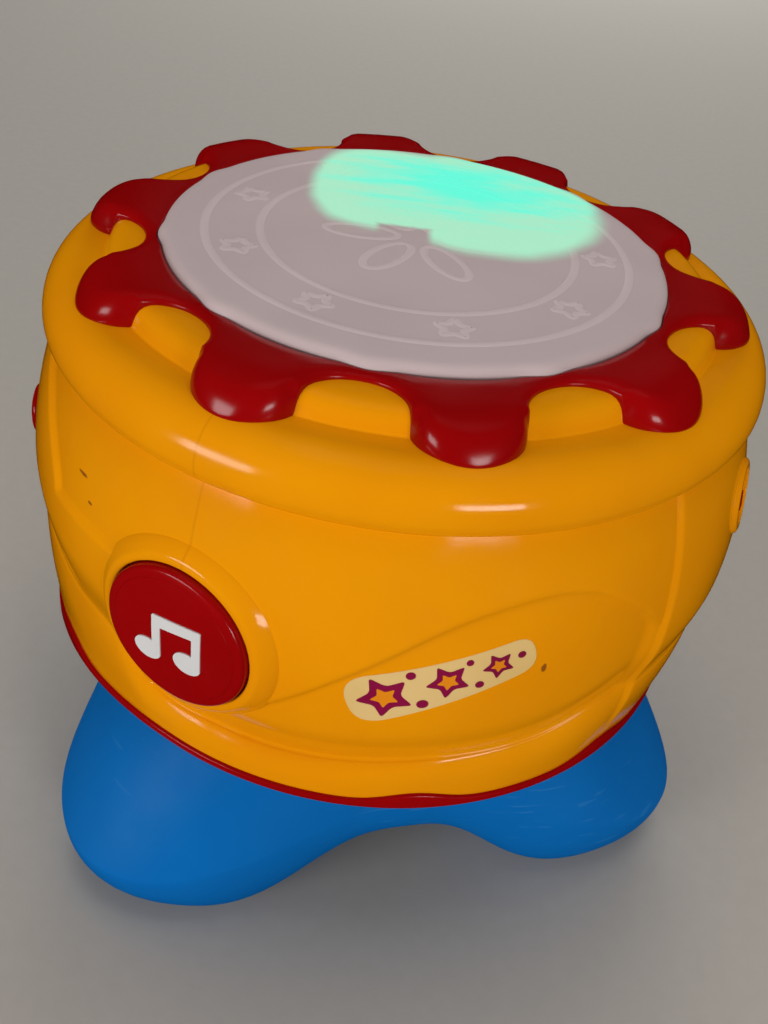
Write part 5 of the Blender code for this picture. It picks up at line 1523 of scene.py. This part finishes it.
# The whole drum
make_shell()
make_collar("music_collar", MUSIC_RADIUS, MUSIC_AZIMUTH, MUSIC_Z, MUSIC_COLLAR_REACH)
make_collar("side_collar", SIDE_RADIUS, SIDE_AZIMUTH, SIDE_Z, SIDE_COLLAR_REACH)
make_bezel()
make_crown()
make_head()
make_stand()
make_pan()
make_base_plate()
make_door()
make_button("music", MUSIC_RADIUS, MUSIC_AZIMUTH, MUSIC_Z)
make_button("side", SIDE_RADIUS, SIDE_AZIMUTH, SIDE_Z)
make_notes()
make_sticker()
make_slider()
make_screw("battery_door_screw", "battery_door")
for number in range(1, FOOT_COUNT + 1):
    make_screw(f"base_screw_{number}", "drum")
    make_screw(f"shell_screw_{number}", "drum")
finish_inside()

# Floor and light; the floor and the world stay out of reflections, so that gloss shows the windows only
FLOOR = Finish("floor_look")
grit = FLOOR.noise(160.0, 3.0)
FLOOR.set(base_color=FLOOR.mix(rgb(0.42, 0.390, 0.350), rgb(0.46, 0.430, 0.385), grit), roughness=0.9)
ground = bmesh.new()
bmesh.ops.create_grid(ground, x_segments=1, y_segments=1, size=4.0)
floor = add_object("floor", ground, FLOOR)
floor.visible_glossy = False

world = bpy.data.worlds.new("studio")
world.use_nodes = True
world.node_tree.nodes["Background"].inputs["Color"].default_value = rgb(1.0, 0.99, 0.97)
world.node_tree.nodes["Background"].inputs["Strength"].default_value = 0.22
bpy.context.scene.world = world
world.cycles_visibility.glossy = False


def add_light(name, at, aim, width, height, power, glare=True):
    """Soft rectangular light that faces a point; without glare it leaves no highlight."""
    light = bpy.data.lights.new(name, "AREA")
    light.shape = "RECTANGLE"
    light.size = width
    light.size_y = height
    light.energy = power
    made = bpy.data.objects.new(name, light)
    made.location = Vector(at)
    made.visible_camera = False
    made.visible_glossy = glare
    made.rotation_mode = "QUATERNION"
    made.rotation_quaternion = (Vector(aim) - Vector(at)).to_track_quat("-Z", "Y")
    bpy.context.scene.collection.objects.link(made)


aim = (0.0, 0.0, WALL_MID)
left_window = around(radians(-48), 1.6, 0.36)
right_window = around(radians(28), 1.6, 0.36)
ceiling = (0.0, 0.0, 1.7)
behind = around(radians(175), 1.9, 0.9)
add_light("left_window", left_window, aim, width=0.6, height=0.4, power=11.0)
add_light("right_window", right_window, aim, width=0.5, height=0.3, power=10.0)
add_light("ceiling", ceiling, aim, width=1.0, height=1.0, power=7.5, glare=False)
add_light("back_fill", behind, aim, width=1.4, height=1.0, power=16.0, glare=False)

# Camera fitted to the view, about the drum's axis
CAMERA_AT = Vector((-0.00588, -0.30359, 0.33979)) + AXIS
CAMERA_RIGHT = Vector((0.99193, 0.06169, 0.11078))
CAMERA_UP = Vector((-0.12547, 0.60341, 0.7875))
CAMERA_LENS = 39.23
camera = bpy.data.objects.new("camera", bpy.data.cameras.new("camera"))
camera.data.lens = CAMERA_LENS
camera.data.clip_start = 0.01
camera.location = CAMERA_AT
camera.rotation_mode = "QUATERNION"
back = CAMERA_RIGHT.cross(CAMERA_UP)
camera.rotation_quaternion = Matrix((CAMERA_RIGHT, CAMERA_UP, back)).transposed().to_quaternion()
bpy.context.scene.collection.objects.link(camera)
bpy.context.scene.camera = camera
bpy.context.scene.view_settings.view_transform = "Standard"
